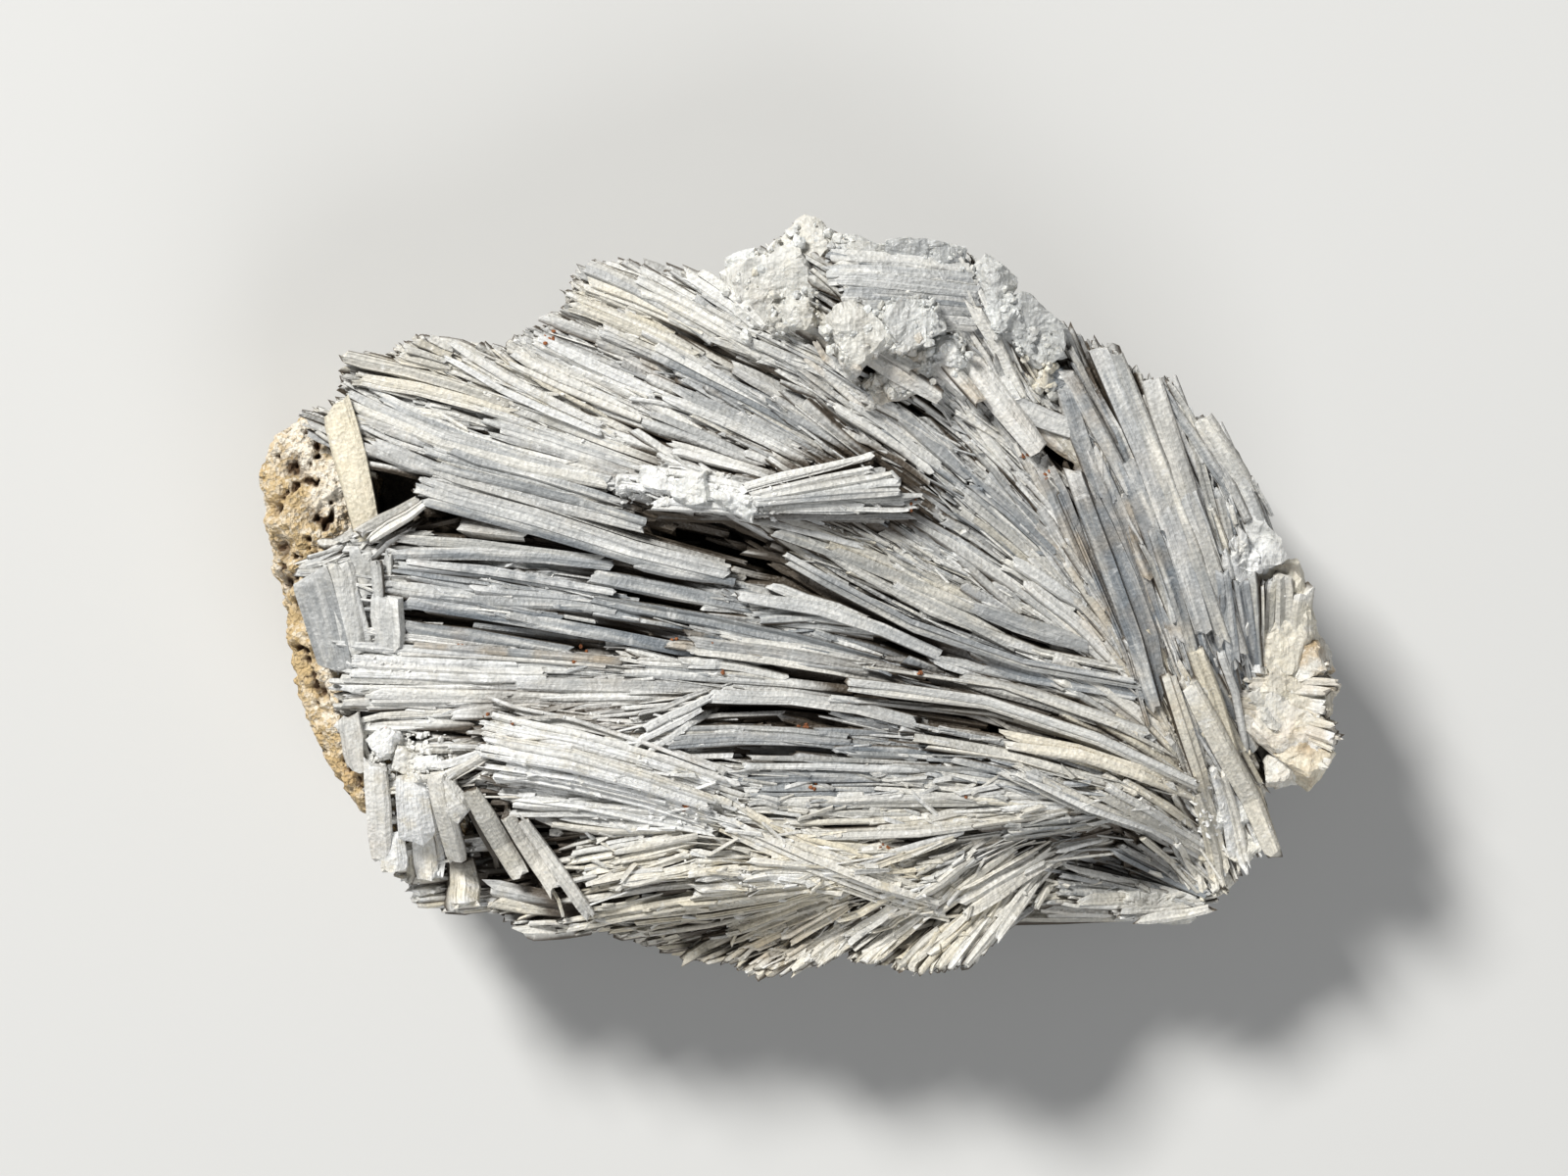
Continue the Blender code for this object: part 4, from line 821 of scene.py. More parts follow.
@dataclass
class BladeMaker:
    """Turns traced strokes, and the grain between them, into sets of blades."""

    terrain: Terrain
    rng: np.random.Generator
    stations: Array = field(default_factory=lambda: np.array([0, 0.3, 0.62, 0.88, 1.0]))
    few_stations: Array = field(default_factory=lambda: np.array([0, 0.42, 0.82, 1.0]))
    mean_radius: float = 42.0           # of the outline, for steps around the wall
    usual_length: float = 7.6           # of the crystals that fill the face

    def resampled(self, points: Sequence[tuple[float, float]]) -> Array:
        """A stroke at the stations from its root to its free end, straight between its points.

        Args:
            points: from the free end to the buried end.

        Returns:
            A row in plan for each station.
        """
        line = np.array(points[::-1])
        length = np.concatenate([[0], np.cumsum(np.linalg.norm(np.diff(line, axis=0), axis=1))])
        share = self.stations * length[-1]
        return np.stack([np.interp(share, length, line[:, axis]) for axis in (0, 1)], -1)

    def bundle(self, strokes: Sequence[Stroke], satellites: int, slimmest: float = 0.80) -> Blades:
        """Each stroke as a row of slim crystals side by side, with finer ones beside and below it.

        Args:
            strokes: width, lift and points of each.
            satellites: how many finer crystals go with each stroke.
            slimmest: width of the slimmest crystals that a wide stroke is made of.

        Returns:
            The blades.
        """
        rng, rows = self.rng, []
        for width, lift, *points in strokes:
            line = self.resampled(points)
            tangent = unit(np.gradient(line, axis=0))
            square = square_to(tangent)
            length = np.linalg.norm(line[-1] - line[0])
            members = max(1, round(width / slimmest))
            slots = (np.arange(members) - (members - 1) / 2 + rng.normal(0, 0.14, members)) * width / members
            for slot in slots:
                own = rng.uniform(0.9, 1.35) * width / members
                rows.append((line, square, slot, own, lift + rng.normal(0, 0.18), 1.6, length))
            for _ in range(satellites):
                side = rng.uniform(-1, 1) * (width / 2 + 1.6)
                own = rng.uniform(0.35, 0.95)
                rows.append((line, square, side, own, lift - rng.uniform(0.2, 1.6), 4.0, length))
        count = len(rows)
        lines, squares, side, width, lift, stagger, length = (np.array(column) for column in zip(*rows))
        run = lines[:, -1] - lines[:, 0]
        slide = unit(run) * (rng.uniform(-1, 0.25, count) * np.minimum(stagger, 0.2 * length))[:, None]
        fan = np.linspace(0.62, 1.12, len(self.stations)) + rng.normal(0, 0.05, (count, len(self.stations)))
        plan = lines + squares * side[:, None, None] * fan[..., None] + slide[:, None]
        plan = self.held_inside(plan + rng.normal(0, 0.045, plan.shape))
        climb = np.linspace(-0.7, 1.0, len(self.stations))
        sunk = np.where(stagger > 2, 1, 0)[:, None] * np.minimum(self.terrain.groove(plan) * 0.45, 2.2)
        height = self.terrain.face(plan) + (lift * 0.9)[:, None] + 0.35 * climb - sunk
        depth = 0.55 * width + 0.55
        paths = lifted(plan, height - depth[:, None] / 2)
        return self.dressed(paths, width, depth, rng.normal(0, 0.22, count))

    def held_inside(self, plan: Array) -> Array:
        """Draws back the free ends that pass the outline, a seventh of the blade at a time.

        Args:
            plan: points along each blade in plan, from its buried end.

        Returns:
            The points of blades that end inside the outline.
        """
        for _ in range(8):
            out = ~self.terrain.inside(plan[:, -1], 0.3)
            shorter = plan[:, :1] + (plan - plan[:, :1]) * 0.86
            plan = np.where(out[:, None, None], shorter, plan)
        return plan

    def dressed(self, paths: Array, width: Array, depth: Array, roll: Array) -> Blades:
        """Blades with the tones of the places where they lie."""
        tones = tone_weights(paths[:, len(paths[0]) // 2, :2], self.rng, 0.35)
        return Blades(paths, width, depth, roll, tones)

    def spots(self, half_x: float, half_y: float, spacing: float) -> Array:
        """Places all over the specimen: a square grid, with each place moved a little by chance.

        Args:
            half_x: the grid's reach along the specimen.
            half_y: its reach across it.
            spacing: distance between neighbours.

        Returns:
            The places in plan.
        """
        across, up = np.meshgrid(np.arange(-half_x, half_x, spacing), np.arange(-half_y, half_y, spacing))
        moved = self.rng.uniform(-0.6, 0.6, (across.size, 2)) * spacing
        return np.stack([across.ravel(), up.ravel()], -1) + moved

    def filler(self, spacing: float, layers: tuple[float, float], widths: tuple[float, float]) -> Blades:
        """Slim crystals all over the face, along the grain, deeper in the grooves, free ends a little raised.

        Args:
            spacing: distance between neighbours.
            layers: highest and lowest layer, as depths below the face.
            widths: slimmest and widest.

        Returns:
            The blades.
        """
        rng = self.rng
        middle = self.spots(57, 40, spacing)
        middle = middle[self.terrain.inside(middle, 0.6) & self.terrain.clear_of_rock(middle, 8.0)]
        groove = self.terrain.groove(middle)        # fewer, shorter and deeper crystals in the grooves
        kept = rng.random(len(middle)) > 0.72 * np.clip((groove - 1.0) / 1.5, 0, 1)
        middle, groove = middle[kept], groove[kept]
        count = len(middle)
        grain = turned(self.terrain.grain(middle), rng.normal(0, 0.085, count))
        length = np.clip(rng.lognormal(math.log(self.usual_length), 0.46, count), 2.6, 24)
        length = length * np.where(groove > 1.5, 0.7, 1.0)
        share = self.few_stations - 0.5
        bow = (rng.normal(0, 0.018, count) * length)[:, None] * (1 - (2 * share) ** 2)
        plan = strung(middle, grain, length, share) + square_to(grain)[:, None] * bow[..., None]
        plan = self.held_inside(plan)
        below = rng.uniform(*layers, count) + groove * rng.uniform(0.5, 0.9, count)
        below = below + 2.6 * self.on_block(middle)
        climb = np.linspace(-0.6, 0.6, len(share)) * rng.uniform(0.2, 1.0, count)[:, None]
        height = self.terrain.face(plan) + self.terrain.bundles(plan) - below[:, None] + climb
        width = rng.uniform(*widths, count)
        depth = 0.5 * width + rng.uniform(0.35, 0.7, count)
        paths = lifted(plan, height - depth[:, None] / 2)
        return replace(self.dressed(paths, width, depth, rng.normal(0, 0.30, count)), habit=Habit.ROD)

    def litter(self, kind: Litter, crevices: Crevices) -> Blades:
        """Broken bits and small crystals that lie on the long ones, along the grain or a little across it.

        Args:
            kind: their sizes.
            crevices: the map of how high the long crystals stand.

        Returns:
            The small crystals.
        """
        rng, terrain = self.rng, self.terrain
        middle = self.spots(54, 38, kind.spacing)
        open_face = terrain.clear_of_rock(middle, 9.0) & (terrain.groove(middle) < 1.2)
        middle = middle[open_face & terrain.inside(middle, 1.6)]
        middle = middle[~self.on_block(middle) & (middle[:, 1] < kind.far_end)]
        count = len(middle)
        grain = turned(terrain.grain(middle), rng.normal(0, kind.swing, count))
        length = kind.lengths[0] + (kind.lengths[1] - kind.lengths[0]) * rng.random(count) ** 2
        plan = strung(middle, grain, length, np.array([-0.5, 0.5]))
        width = rng.uniform(*kind.widths, count)
        depth = rng.uniform(*kind.depths, count)
        top = crevices.tops[crevices.squares(plan)]
        low = np.minimum(top[:, :1], top[:, 1:])
        height = np.where(top - low > 0.6, low, top) + rng.uniform(0.0, kind.lift, count)[:, None]
        made = self.dressed(lifted(plan, height), width, depth, rng.normal(0, 0.5, count))
        held = (low[:, 0] > terrain.face(middle) - 2.0) & terrain.inside(plan, 1.2).all(1)
        return replace(made.chosen(held), habit=Habit.SPLINTER, cleft=0.4, seam=0.5)

    def on_block(self, xy: Array) -> Array:
        """Whether places in plan lie on one of the blocky crystals.

        Args:
            xy: places in plan.

        Returns:
            A mask with one value for each place.
        """
        gap = turned(xy[:, None] - BLOCKS[:, :2], -np.radians(BLOCKS[:, 4]))
        return (np.abs(gap) < 0.46 * BLOCKS[:, 2:4]).all(-1).any(1)

    def walls(self, around: float, up: float) -> Blades:
        """Crystals in the side walls: along the grain, so that they show their ends or their sides.

        Args:
            around: distance between neighbours along the wall.
            up: distance between neighbours up the wall.

        Returns:
            The blades.
        """
        rng = self.rng
        step, rise = around / self.mean_radius, up / self.terrain.face_height      # as angle and as share
        angles, levels = np.meshgrid(np.arange(-np.pi, np.pi, step), np.arange(0.03, 1.0, rise))
        angle = angles.ravel() + rng.uniform(-0.5, 0.5, angles.size) * around / self.mean_radius
        level = levels.ravel() + rng.uniform(-0.5, 0.5, angles.size) * up / self.terrain.face_height
        level = np.clip(level, 0.02, 1.0)
        share = np.interp(level, [row[1] for row in WALL_SECTION], [row[0] for row in WALL_SECTION])
        radius = self.terrain.edge(angle) * (share + 0.035)
        outward = np.stack([np.cos(angle), np.sin(angle)], -1)
        place = outward * radius[:, None]
        low, high, side = self.terrain.rock_low - 2, self.terrain.rock_high + 1, self.terrain.rock_side + 3
        keep = (place[:, 0] >= side) | (place[:, 1] <= low) | (place[:, 1] >= high)
        place, outward, level = place[keep], outward[keep], level[keep]
        count = len(place)
        grain = self.terrain.grain(place)
        facing = (grain * outward).sum(-1)
        grain = np.where((facing < -0.25)[:, None], -grain, grain)
        ends_show = np.abs(facing) > 0.35
        length = rng.uniform(5, 15, count)
        tip = place + np.where(ends_show[:, None], outward * rng.uniform(-1.6, 0.9, count)[:, None], 0)
        tip = np.where(ends_show[:, None], tip, tip + grain * (length / 2)[:, None] - outward * 0.8)
        root = tip - grain * length[:, None]
        share = self.few_stations
        plan = self.held_inside(root[:, None] + (tip - root)[:, None] * share[None, :, None])
        base = level * (self.terrain.face(place) - 1.2)
        slope = rng.normal(0, 0.10, count) * length
        height = base[:, None] + slope[:, None] * (share - 0.7) + 0.6
        width = 0.8 + 2.0 * rng.random(count) ** 1.6
        depth = 0.5 * width + rng.uniform(0.3, 0.8, count)
        height = np.maximum(height, depth[:, None] / 2 + 0.15)
        blades = self.dressed(lifted(plan, height), width, depth, rng.normal(0, 0.6, count))
        tan = blades.tones[:, Tone.TAN.value] + rng.uniform(0, 0.35, count)
        blades.tones[:, Tone.TAN.value] = np.clip(tan, 0, 1)
        return replace(blades, cleft=0.0, seam=1.0, habit=Habit.ROD)

    def back(self, spacing: float) -> Blades:
        """Broken crystals that lie in the flat back, along the grain, with undersides just off the floor.

        Args:
            spacing: distance between neighbours.

        Returns:
            The blades.
        """
        rng = self.rng
        middle = self.spots(48, 32, spacing)
        away, edge = self.terrain.reach(middle)
        middle = middle[away < 0.83 * edge]
        count = len(middle)
        length = rng.uniform(6, 15, count)
        share = self.few_stations - 0.5
        plan = strung(middle, self.terrain.grain(middle), length, share)
        width = rng.uniform(1.2, 2.4, count)
        depth = 0.5 * width + 0.4
        height = depth[:, None] * 0.5 + rng.uniform(0.05, 0.9, count)[:, None] + 0 * share
        blades = self.dressed(lifted(plan, height), width, depth, rng.normal(0, 0.3, count) + np.pi)
        return replace(blades, cleft=0.0, seam=1.0, habit=Habit.ROD)


class Graph:
    """A node tree with short ways to add nodes to it."""

    def __init__(self, tree: bpy.types.NodeTree) -> None:
        """Holds the tree to build in."""
        self.tree = tree

    def fill(self, node: bpy.types.Node, inputs: dict) -> None:
        """Gives a node its inputs.

        Args:
            node: the node.
            inputs: values or sockets by input name or number.
        """
        for key, value in inputs.items():
            if isinstance(value, Socket):
                self.tree.links.new(value, node.inputs[key])
            else:
                node.inputs[key].default_value = value

    def add(self, kind: str, settings: dict | None = None, inputs: dict | None = None) -> bpy.types.Node:
        """Adds a node.

        Args:
            kind: the node's type, without ShaderNode before it where it has that.
            settings: properties of the node.
            inputs: values or sockets by input name or number.

        Returns:
            The new node.
        """
        node = self.tree.nodes.new(kind if kind.startswith("Node") else "ShaderNode" + kind)
        for key, value in (settings or {}).items():
            setattr(node, key, value)
        self.fill(node, inputs or {})
        return node

    def math(self, operation: str, *values: object, clamp: bool = False) -> Socket:
        """Arithmetic on numbers or sockets."""
        settings = {"operation": operation, "use_clamp": clamp}
        return self.add("Math", settings, dict(enumerate(values))).outputs[0]

    def plus(self, *values: object, clamp: bool = False) -> Socket:
        """The sum of two numbers or sockets."""
        return self.math("ADD", *values, clamp=clamp)

    def less(self, *values: object) -> Socket:
        """The first of two numbers or sockets less the second."""
        return self.math("SUBTRACT", *values)

    def times(self, *values: object, clamp: bool = False) -> Socket:
        """The product of two numbers or sockets."""
        return self.math("MULTIPLY", *values, clamp=clamp)

    def mix(self, amount: object, first: object, second: object, blend: str = "MIX") -> Socket:
        """A colour between two colours."""
        settings = {"data_type": "RGBA", "blend_type": blend, "clamp_factor": True}
        return self.add("Mix", settings, {0: amount, 6: first, 7: second}).outputs[2]

    def noise(self, vector: object, scale: float, detail: float = 3.0, rough: float = 0.55) -> Socket:
        """Fractal noise at a place."""
        inputs = {"Vector": vector, "Scale": scale, "Detail": detail, "Roughness": rough}
        return self.add("TexNoise", None, inputs).outputs["Fac"]

    def ramp(self, value: object, low: float, high: float) -> Socket:
        """A value stretched so that low becomes 0 and high becomes 1, eased between."""
        settings = {"interpolation_type": "SMOOTHSTEP"}
        return self.add("MapRange", settings, {0: value, 1: low, 2: high}).outputs[0]

    def vector(self, x: object, y: object, z: object) -> Socket:
        """Three numbers or sockets as a vector."""
        return self.add("CombineXYZ", None, {0: x, 1: y, 2: z}).outputs[0]

    def parts(self, colour: Socket) -> bpy.types.NodeOutputs:
        """A colour's red, green and blue as numbers."""
        return self.add("SeparateColor", None, {0: colour}).outputs

    def place(self) -> Socket:
        """Object coordinates."""
        return self.add("TexCoord").outputs["Object"]

    def attribute(self, name: str) -> bpy.types.NodeOutputs:
        """What the piece's attribute holds, as a colour, a vector, a number and an alpha."""
        return self.add("Attribute", {"attribute_name": name}).outputs

    def group(self, tree: bpy.types.NodeTree, inputs: dict) -> bpy.types.NodeOutputs:
        """What a shared node group puts out for these inputs."""
        return self.add("Group", {"node_tree": tree}, inputs).outputs

    def stained_and_shaded(
        self, tree: bpy.types.NodeTree, colour: Socket, place: Socket, shade_and_dirt: Colour, rust: float,
    ) -> Socket:
        """A colour with painted shade in the piece's crevices and a share of rust, from the rust and shade
        group.

        Args:
            tree: the rust and shade group.
            colour: the colour before rust and painted shade.
            place: where the surface lies.
            shade_and_dirt: the colour that the crevices darken to.
            rust: strength of the rusty clouds.

        Returns:
            The colour with rust and painted shade.
        """
        inputs = {"Color": colour, "Place": place, "Shade and dirt": shade_and_dirt, "Rust amount": rust}
        return self.group(tree, {**inputs, "Crevice": self.attribute("crevice")["Fac"]})["Color"]

    def bump(self, strength: float, distance_mm: float, height: Socket) -> Socket:
        """A normal that is bumped by a height."""
        inputs = {"Strength": strength, "Distance": distance_mm * MM, "Height": height}
        return self.add("Bump", None, inputs).outputs[0]


def new_group(name: str, inputs: dict[str, tuple], outputs: dict[str, str]) -> tuple[Graph, dict]:
    """Starts a shader node group with named sockets.

    Args:
        name: the group's name.
        inputs: socket type and default value by name.
        outputs: socket type by name.

    Returns:
        The group's graph, and its input sockets by name with the output node under "out".
    """
    tree = bpy.data.node_groups.new(name, "ShaderNodeTree")
    for key, (kind, value) in inputs.items():
        tree.interface.new_socket(key, in_out="INPUT", socket_type=kind).default_value = value
    for key, kind in outputs.items():
        tree.interface.new_socket(key, in_out="OUTPUT", socket_type=kind)
    graph = Graph(tree)
    sockets = {key: graph.add("NodeGroupInput").outputs[key] for key in inputs}
    return graph, {**sockets, "out": graph.add("NodeGroupOutput")}


VECTOR, NUMBER, COLOUR = "NodeSocketVector", "NodeSocketFloat", "NodeSocketColor"


def striation_group() -> bpy.types.NodeTree:
    """Fine lines along a crystal: noise squeezed across the fibre and drawn out along it, with cracks.

    Returns:
        The node group.
    """
    graph, use = new_group(
        "fibre_striation",
        {"Fibre": (VECTOR, (0, 0, 0)), "Lines per mm": (NUMBER, 5.0)},
        {"Height": NUMBER, "Streak": NUMBER, "Crack": NUMBER},
    )
    around, along, own = graph.add("SeparateXYZ", None, {0: use["Fibre"]}).outputs
    across = graph.times(around, use["Lines per mm"])
    fine = graph.vector(across, graph.times(along, 0.22), own)
    broad = graph.vector(graph.times(across, 0.24), graph.times(along, 0.13), own)
    seam = graph.vector(graph.times(around, 0.35), graph.times(along, 0.9), own)
    graph.fill(use["out"], {
        "Height": graph.noise(fine, 1.0, 4.0, 0.62),
        "Streak": graph.noise(broad, 1.0, 3.0, 0.5),
        "Crack": graph.ramp(graph.noise(seam, 1.0, 2.0, 0.5), 0.66, 0.74),
    })
    return graph.tree


def grit_group() -> bpy.types.NodeTree:
    """Grains and pits of stone at a place: broken cells with noise between.

    Returns:
        The node group.
    """
    graph, use = new_group(
        "stone_grit",
        {"Place": (VECTOR, (0, 0, 0)), "Grain scale": (NUMBER, 1800.0)},
        {"Height": NUMBER, "Speckle": NUMBER},
    )
    inputs = {"Vector": use["Place"], "Scale": use["Grain scale"]}
    cells = graph.add("TexVoronoi", None, inputs).outputs
    cloud = graph.add("TexNoise", None, {**inputs, "Detail": 5.0}).outputs["Fac"]
    height = graph.plus(graph.times(cells["Distance"], 0.6), cloud)
    graph.fill(use["out"], {"Height": height, "Speckle": graph.parts(cells["Color"])[0]})
    return graph.tree


def rust_and_shade_group() -> bpy.types.NodeTree:
    """Rusty clouds, and a darker, browner colour with the Crevice number: painted shade in the crystals'
    clefts, darker pits in the rock.

    Returns:
        The node group.
    """
    graph, use = new_group(
        "iron_and_crevice_shade",
        {
            "Color": (COLOUR, (0.8, 0.8, 0.8, 1)), "Place": (VECTOR, (0, 0, 0)), "Crevice": (NUMBER, 0.0),
            "Shade and dirt": (COLOUR, (0.1, 0.08, 0.06, 1)), "Rust amount": (NUMBER, 0.5),
        },
        {"Color": COLOUR},
    )
    uneven = graph.noise(use["Place"], 420.0, 4.0, 0.6)
    depth = graph.plus(use["Crevice"], graph.times(graph.less(uneven, 0.5), 0.5))
    depth = graph.ramp(graph.times(use["Crevice"], graph.plus(depth, 0.55)), 0.05, 1.0)
    shade_darkened = graph.mix(depth, use["Color"], use["Shade and dirt"])
    cloud = graph.ramp(graph.noise(use["Place"], 95.0, 5.0, 0.6), 0.62, 0.74)
    rust = graph.times(cloud, use["Rust amount"], clamp=True)
    graph.fill(use["out"], {"Color": graph.mix(rust, shade_darkened, (0.42, 0.22, 0.09, 1.0))})
    return graph.tree


@dataclass(frozen=True)
class Groups:
    """The node groups that the finishes share."""

    striation: bpy.types.NodeTree
    grit: bpy.types.NodeTree
    rust_and_shade: bpy.types.NodeTree


def shader_of(name: str) -> tuple[bpy.types.Material, Graph, bpy.types.Node]:
    """A new material with its graph and its shader.

    Args:
        name: the material's name.

    Returns:
        The material, its graph and its Principled shader.
    """
    made = bpy.data.materials.new(name)
    made.use_nodes = True
    return made, Graph(made.node_tree), made.node_tree.nodes["Principled BSDF"]


@dataclass(frozen=True)
class CrystalFinish:
    """Silky crystal: grey to white by blade, toned by patches, lined along the fibre, with painted shade in
    the clefts.
    """

    name: str
    dull: Colour = (0.44, 0.445, 0.44, 1)
    bright: Colour = (0.92, 0.91, 0.87, 1)
    chalk: Colour = (0.93, 0.93, 0.915, 1)
    cream: Colour = (0.87, 0.785, 0.60, 1)
    slate: Colour = (0.20, 0.225, 0.25, 1)
    tan: Colour = (0.50, 0.36, 0.19, 1)
    # painted shade: the colour that the crystals darken to in their clefts
    shade_and_dirt: Colour = (0.080, 0.062, 0.043, 1)
    lines_per_mm: float = 5.0
    grain_scale: float = 2500.0
    bump_mm: float = 0.17
    roughness: float = 0.46
    rust: float = 0.10
    glow: float = 0.12                  # light that spreads inside the crystal

    def material(self, groups: Groups) -> bpy.types.Material:
        """Builds the material.

        Args:
            groups: the shared node groups.

        Returns:
            The material.
        """
        made, graph, shader = shader_of(self.name)
        place = graph.place()
        tones, luck = graph.attribute("tones"), graph.attribute("luck")["Fac"]
        inputs = {"Fibre": graph.attribute("fibre")["Vector"], "Lines per mm": self.lines_per_mm}
        line = graph.group(groups.striation, inputs)
        sugar = graph.group(groups.grit, {"Place": place, "Grain scale": self.grain_scale})
        chalky, creamy, slaty = graph.parts(tones["Color"])
        light = graph.plus(graph.times(luck, 0.55), graph.times(line["Streak"], 0.75))
        colour = graph.mix(graph.ramp(light, 0.30, 0.88), self.dull, self.bright)
        warm = graph.times(graph.ramp(graph.noise(place, 240.0, 5.0, 0.7), 0.50, 0.72), 0.26)
        warm = graph.plus(warm, graph.times(creamy, 0.90), clamp=True)
        colour = graph.mix(warm, colour, self.cream)
        smoky = graph.times(slaty, graph.ramp(line["Streak"], 0.80, 0.40))
        colour = graph.mix(smoky, colour, self.slate)
        tan = graph.times(tones["Alpha"], graph.ramp(graph.noise(place, 260.0), 0.35, 0.7))
        colour = graph.mix(tan, colour, self.tan)
        powder = graph.times(chalky, graph.ramp(graph.noise(place, 520.0, 4.0), 0.25, 0.55))
        colour = graph.mix(powder, colour, self.chalk)
        # Painted shade in the fine striation grooves: darker where the bump's height is low.
        fine = graph.less(1.0, graph.ramp(line["Height"], 0.30, 0.66))
        colour = graph.mix(graph.times(fine, 0.30), colour, self.dull, "MULTIPLY")
        fleck = graph.ramp(graph.noise(place, 950.0, 4.0, 0.7), 0.58, 0.68)
        fleck = graph.times(fleck, graph.less(1.0, slaty))
        colour = graph.mix(graph.times(fleck, 0.45), colour, self.chalk)
        colour = graph.mix(graph.times(line["Crack"], 0.35), colour, self.chalk)
        mottle = graph.times(graph.ramp(graph.noise(place, 1500.0, 6.0, 0.8), 0.62, 0.36), 0.30)
        mottle = graph.plus(mottle, graph.times(sugar["Speckle"], 0.22))
        colour = graph.mix(mottle, colour, self.dull, "MULTIPLY")
        rough = graph.plus(graph.times(powder, 0.35), graph.times(line["Height"], 0.25))
        height = graph.plus(line["Height"], graph.times(line["Streak"], 0.8))
        height = graph.plus(height, graph.times(sugar["Height"], 0.95))
        # The base colour carries painted shade from the crevice attribute, besides rust clouds.
        graph.fill(shader, {
            "Base Color": graph.stained_and_shaded(groups.rust_and_shade, colour, place, self.shade_and_dirt, self.rust),
            "Roughness": graph.plus(rough, self.roughness - 0.12, clamp=True),
            "Normal": graph.bump(0.8, self.bump_mm, height),
            "Subsurface Weight": self.glow,
            "Subsurface Radius": (1.0, 0.9, 0.75),
            "Subsurface Scale": 0.5 * MM,
            "IOR": 1.6,
        })
        return made


@dataclass(frozen=True)
class StoneFinish:
    """Dull stone: two colours broken up by grains, pits, dark specks and darker crevices."""

    name: str
    light: Colour
    dark: Colour
    # colour of the dark specks and of the darkened crevices, which on the core between the blades is painted
    # shade
    shade_and_dirt: Colour
    grain_scale: float = 1800.0
    bump_mm: float = 0.25
    roughness: float = 0.85
    rust: float = 0.4
    specks: float = 0.0                 # strength of the small dark specks

    def material(self, groups: Groups) -> bpy.types.Material:
        """Builds the material.

        Args:
            groups: the shared node groups.

        Returns:
            The material.
        """
        made, graph, shader = shader_of(self.name)
        place, ochre = graph.place(), graph.attribute("ochre")["Fac"]
        grit = graph.group(groups.grit, {"Place": place, "Grain scale": self.grain_scale})
        cloud = graph.plus(graph.noise(place, 130.0, 5.0, 0.6), graph.times(grit["Speckle"], 0.22))
        cloud = graph.less(cloud, graph.times(ochre, 0.13))
        colour = graph.mix(graph.ramp(cloud, 0.42, 0.78), self.dark, self.light)
        speck = graph.ramp(graph.noise(place, 1150.0, 4.0, 0.7), 0.60, 0.70)
        colour = graph.mix(graph.times(speck, self.specks), colour, self.shade_and_dirt)
        graph.fill(shader, {
            "Base Color": graph.stained_and_shaded(groups.rust_and_shade, colour, place, self.shade_and_dirt, self.rust),
            "Roughness": graph.plus(graph.times(grit["Speckle"], 0.14), self.roughness - 0.07, clamp=True),
            "Normal": graph.bump(0.9, self.bump_mm, grit["Height"]),
        })
        return made


@dataclass
class Workshop:
    """What every sub-assembly needs: the terrain, the crevice map, the finishes and a source of chance."""

    terrain: Terrain
    crevices: Crevices
    rng: np.random.Generator
    finishes: dict[str, bpy.types.Material]

    def place(
        self, piece: bpy.types.Object, finish: str, node: str = "crystal_mass", slot: str = "crystal",
    ) -> None:
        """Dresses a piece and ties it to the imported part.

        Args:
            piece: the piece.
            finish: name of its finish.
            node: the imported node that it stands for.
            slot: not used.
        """
        piece.data.materials.append(self.finishes[finish])
        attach(piece, "root")
        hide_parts(node)
        log.info("%s: %d faces", piece.name, len(piece.data.polygons))


def grid_faces(rows: int, columns: int) -> tuple[Array, Array, Array]:
    """Faces of a tube of rings: quads between rings, and one cap at each end.

    Args:
        rows: number of rings.
        columns: corners in each ring.

    Returns:
        The quads, the first cap and the last cap.
    """
    ring = np.arange(rows - 1)[:, None] * columns
    here, after = np.arange(columns), (np.arange(columns) + 1) % columns
    quads = np.stack([ring + here, ring + after, ring + columns + after, ring + columns + here], -1)
    return quads.reshape(-1, 4), here[None, ::-1], (here + (rows - 1) * columns)[None]


def facet_grains(
    centres: Array, half: Array, turn: Array, rng: np.random.Generator, cuts: int, rings: int, columns: int,
    reaches: tuple[float, float] = (0.82, 1.12),
) -> tuple[Array, list[Array]]:
    """Many convex grains: from each centre, a ray ends at the first of a box's planes and some random planes.

    Args:
        centres: middles of the grains.
        half: half sides of each grain's box.
        turn: a rotation matrix for each grain.
        rng: source of the random planes.
        cuts: how many random planes cut each grain's corners.
        rings: rings of rays from pole to pole.
        columns: rays in each ring.
        reaches: nearest and farthest random plane, as shares of the half sides.

    Returns:
        The corners, and tables of faces.
    """
    count = len(centres)
    polar = (np.arange(rings) + 0.5) / rings * np.pi
    angle = np.arange(columns) / columns * 2 * np.pi
    level = np.sin(polar)[:, None]
    axes = np.broadcast_arrays(level * np.cos(angle), level * np.sin(angle), -np.cos(polar)[:, None])
    rays = np.stack(axes, -1).reshape(-1, 3)
    normals = unit(rng.normal(size=(count, cuts, 3)))
    offsets = rng.uniform(*reaches, (count, cuts))
    facing = np.einsum("ncx,rx->nrc", normals, rays)
    reach = np.where(facing > 0.05, offsets[:, None] / np.maximum(facing, 0.05), 9.0).min(-1)
    box = (1 / np.maximum(np.abs(rays), 1e-6)).min(-1)
    reach = np.minimum(reach, box[None] * rng.uniform(0.92, 1.0, (count, 1)))
    local = rays[None] * reach[..., None] * half[:, None]
    points = np.einsum("nxy,nry->nrx", turn, local) + centres[:, None]
    quads, low, high = grid_faces(rings, columns)
    shift = (np.arange(count) * rings * columns)[:, None, None]
    tables = [(shift + table[None]).reshape(-1, table.shape[1]) for table in (quads, low, high)]
    return points.reshape(-1, 3), tables


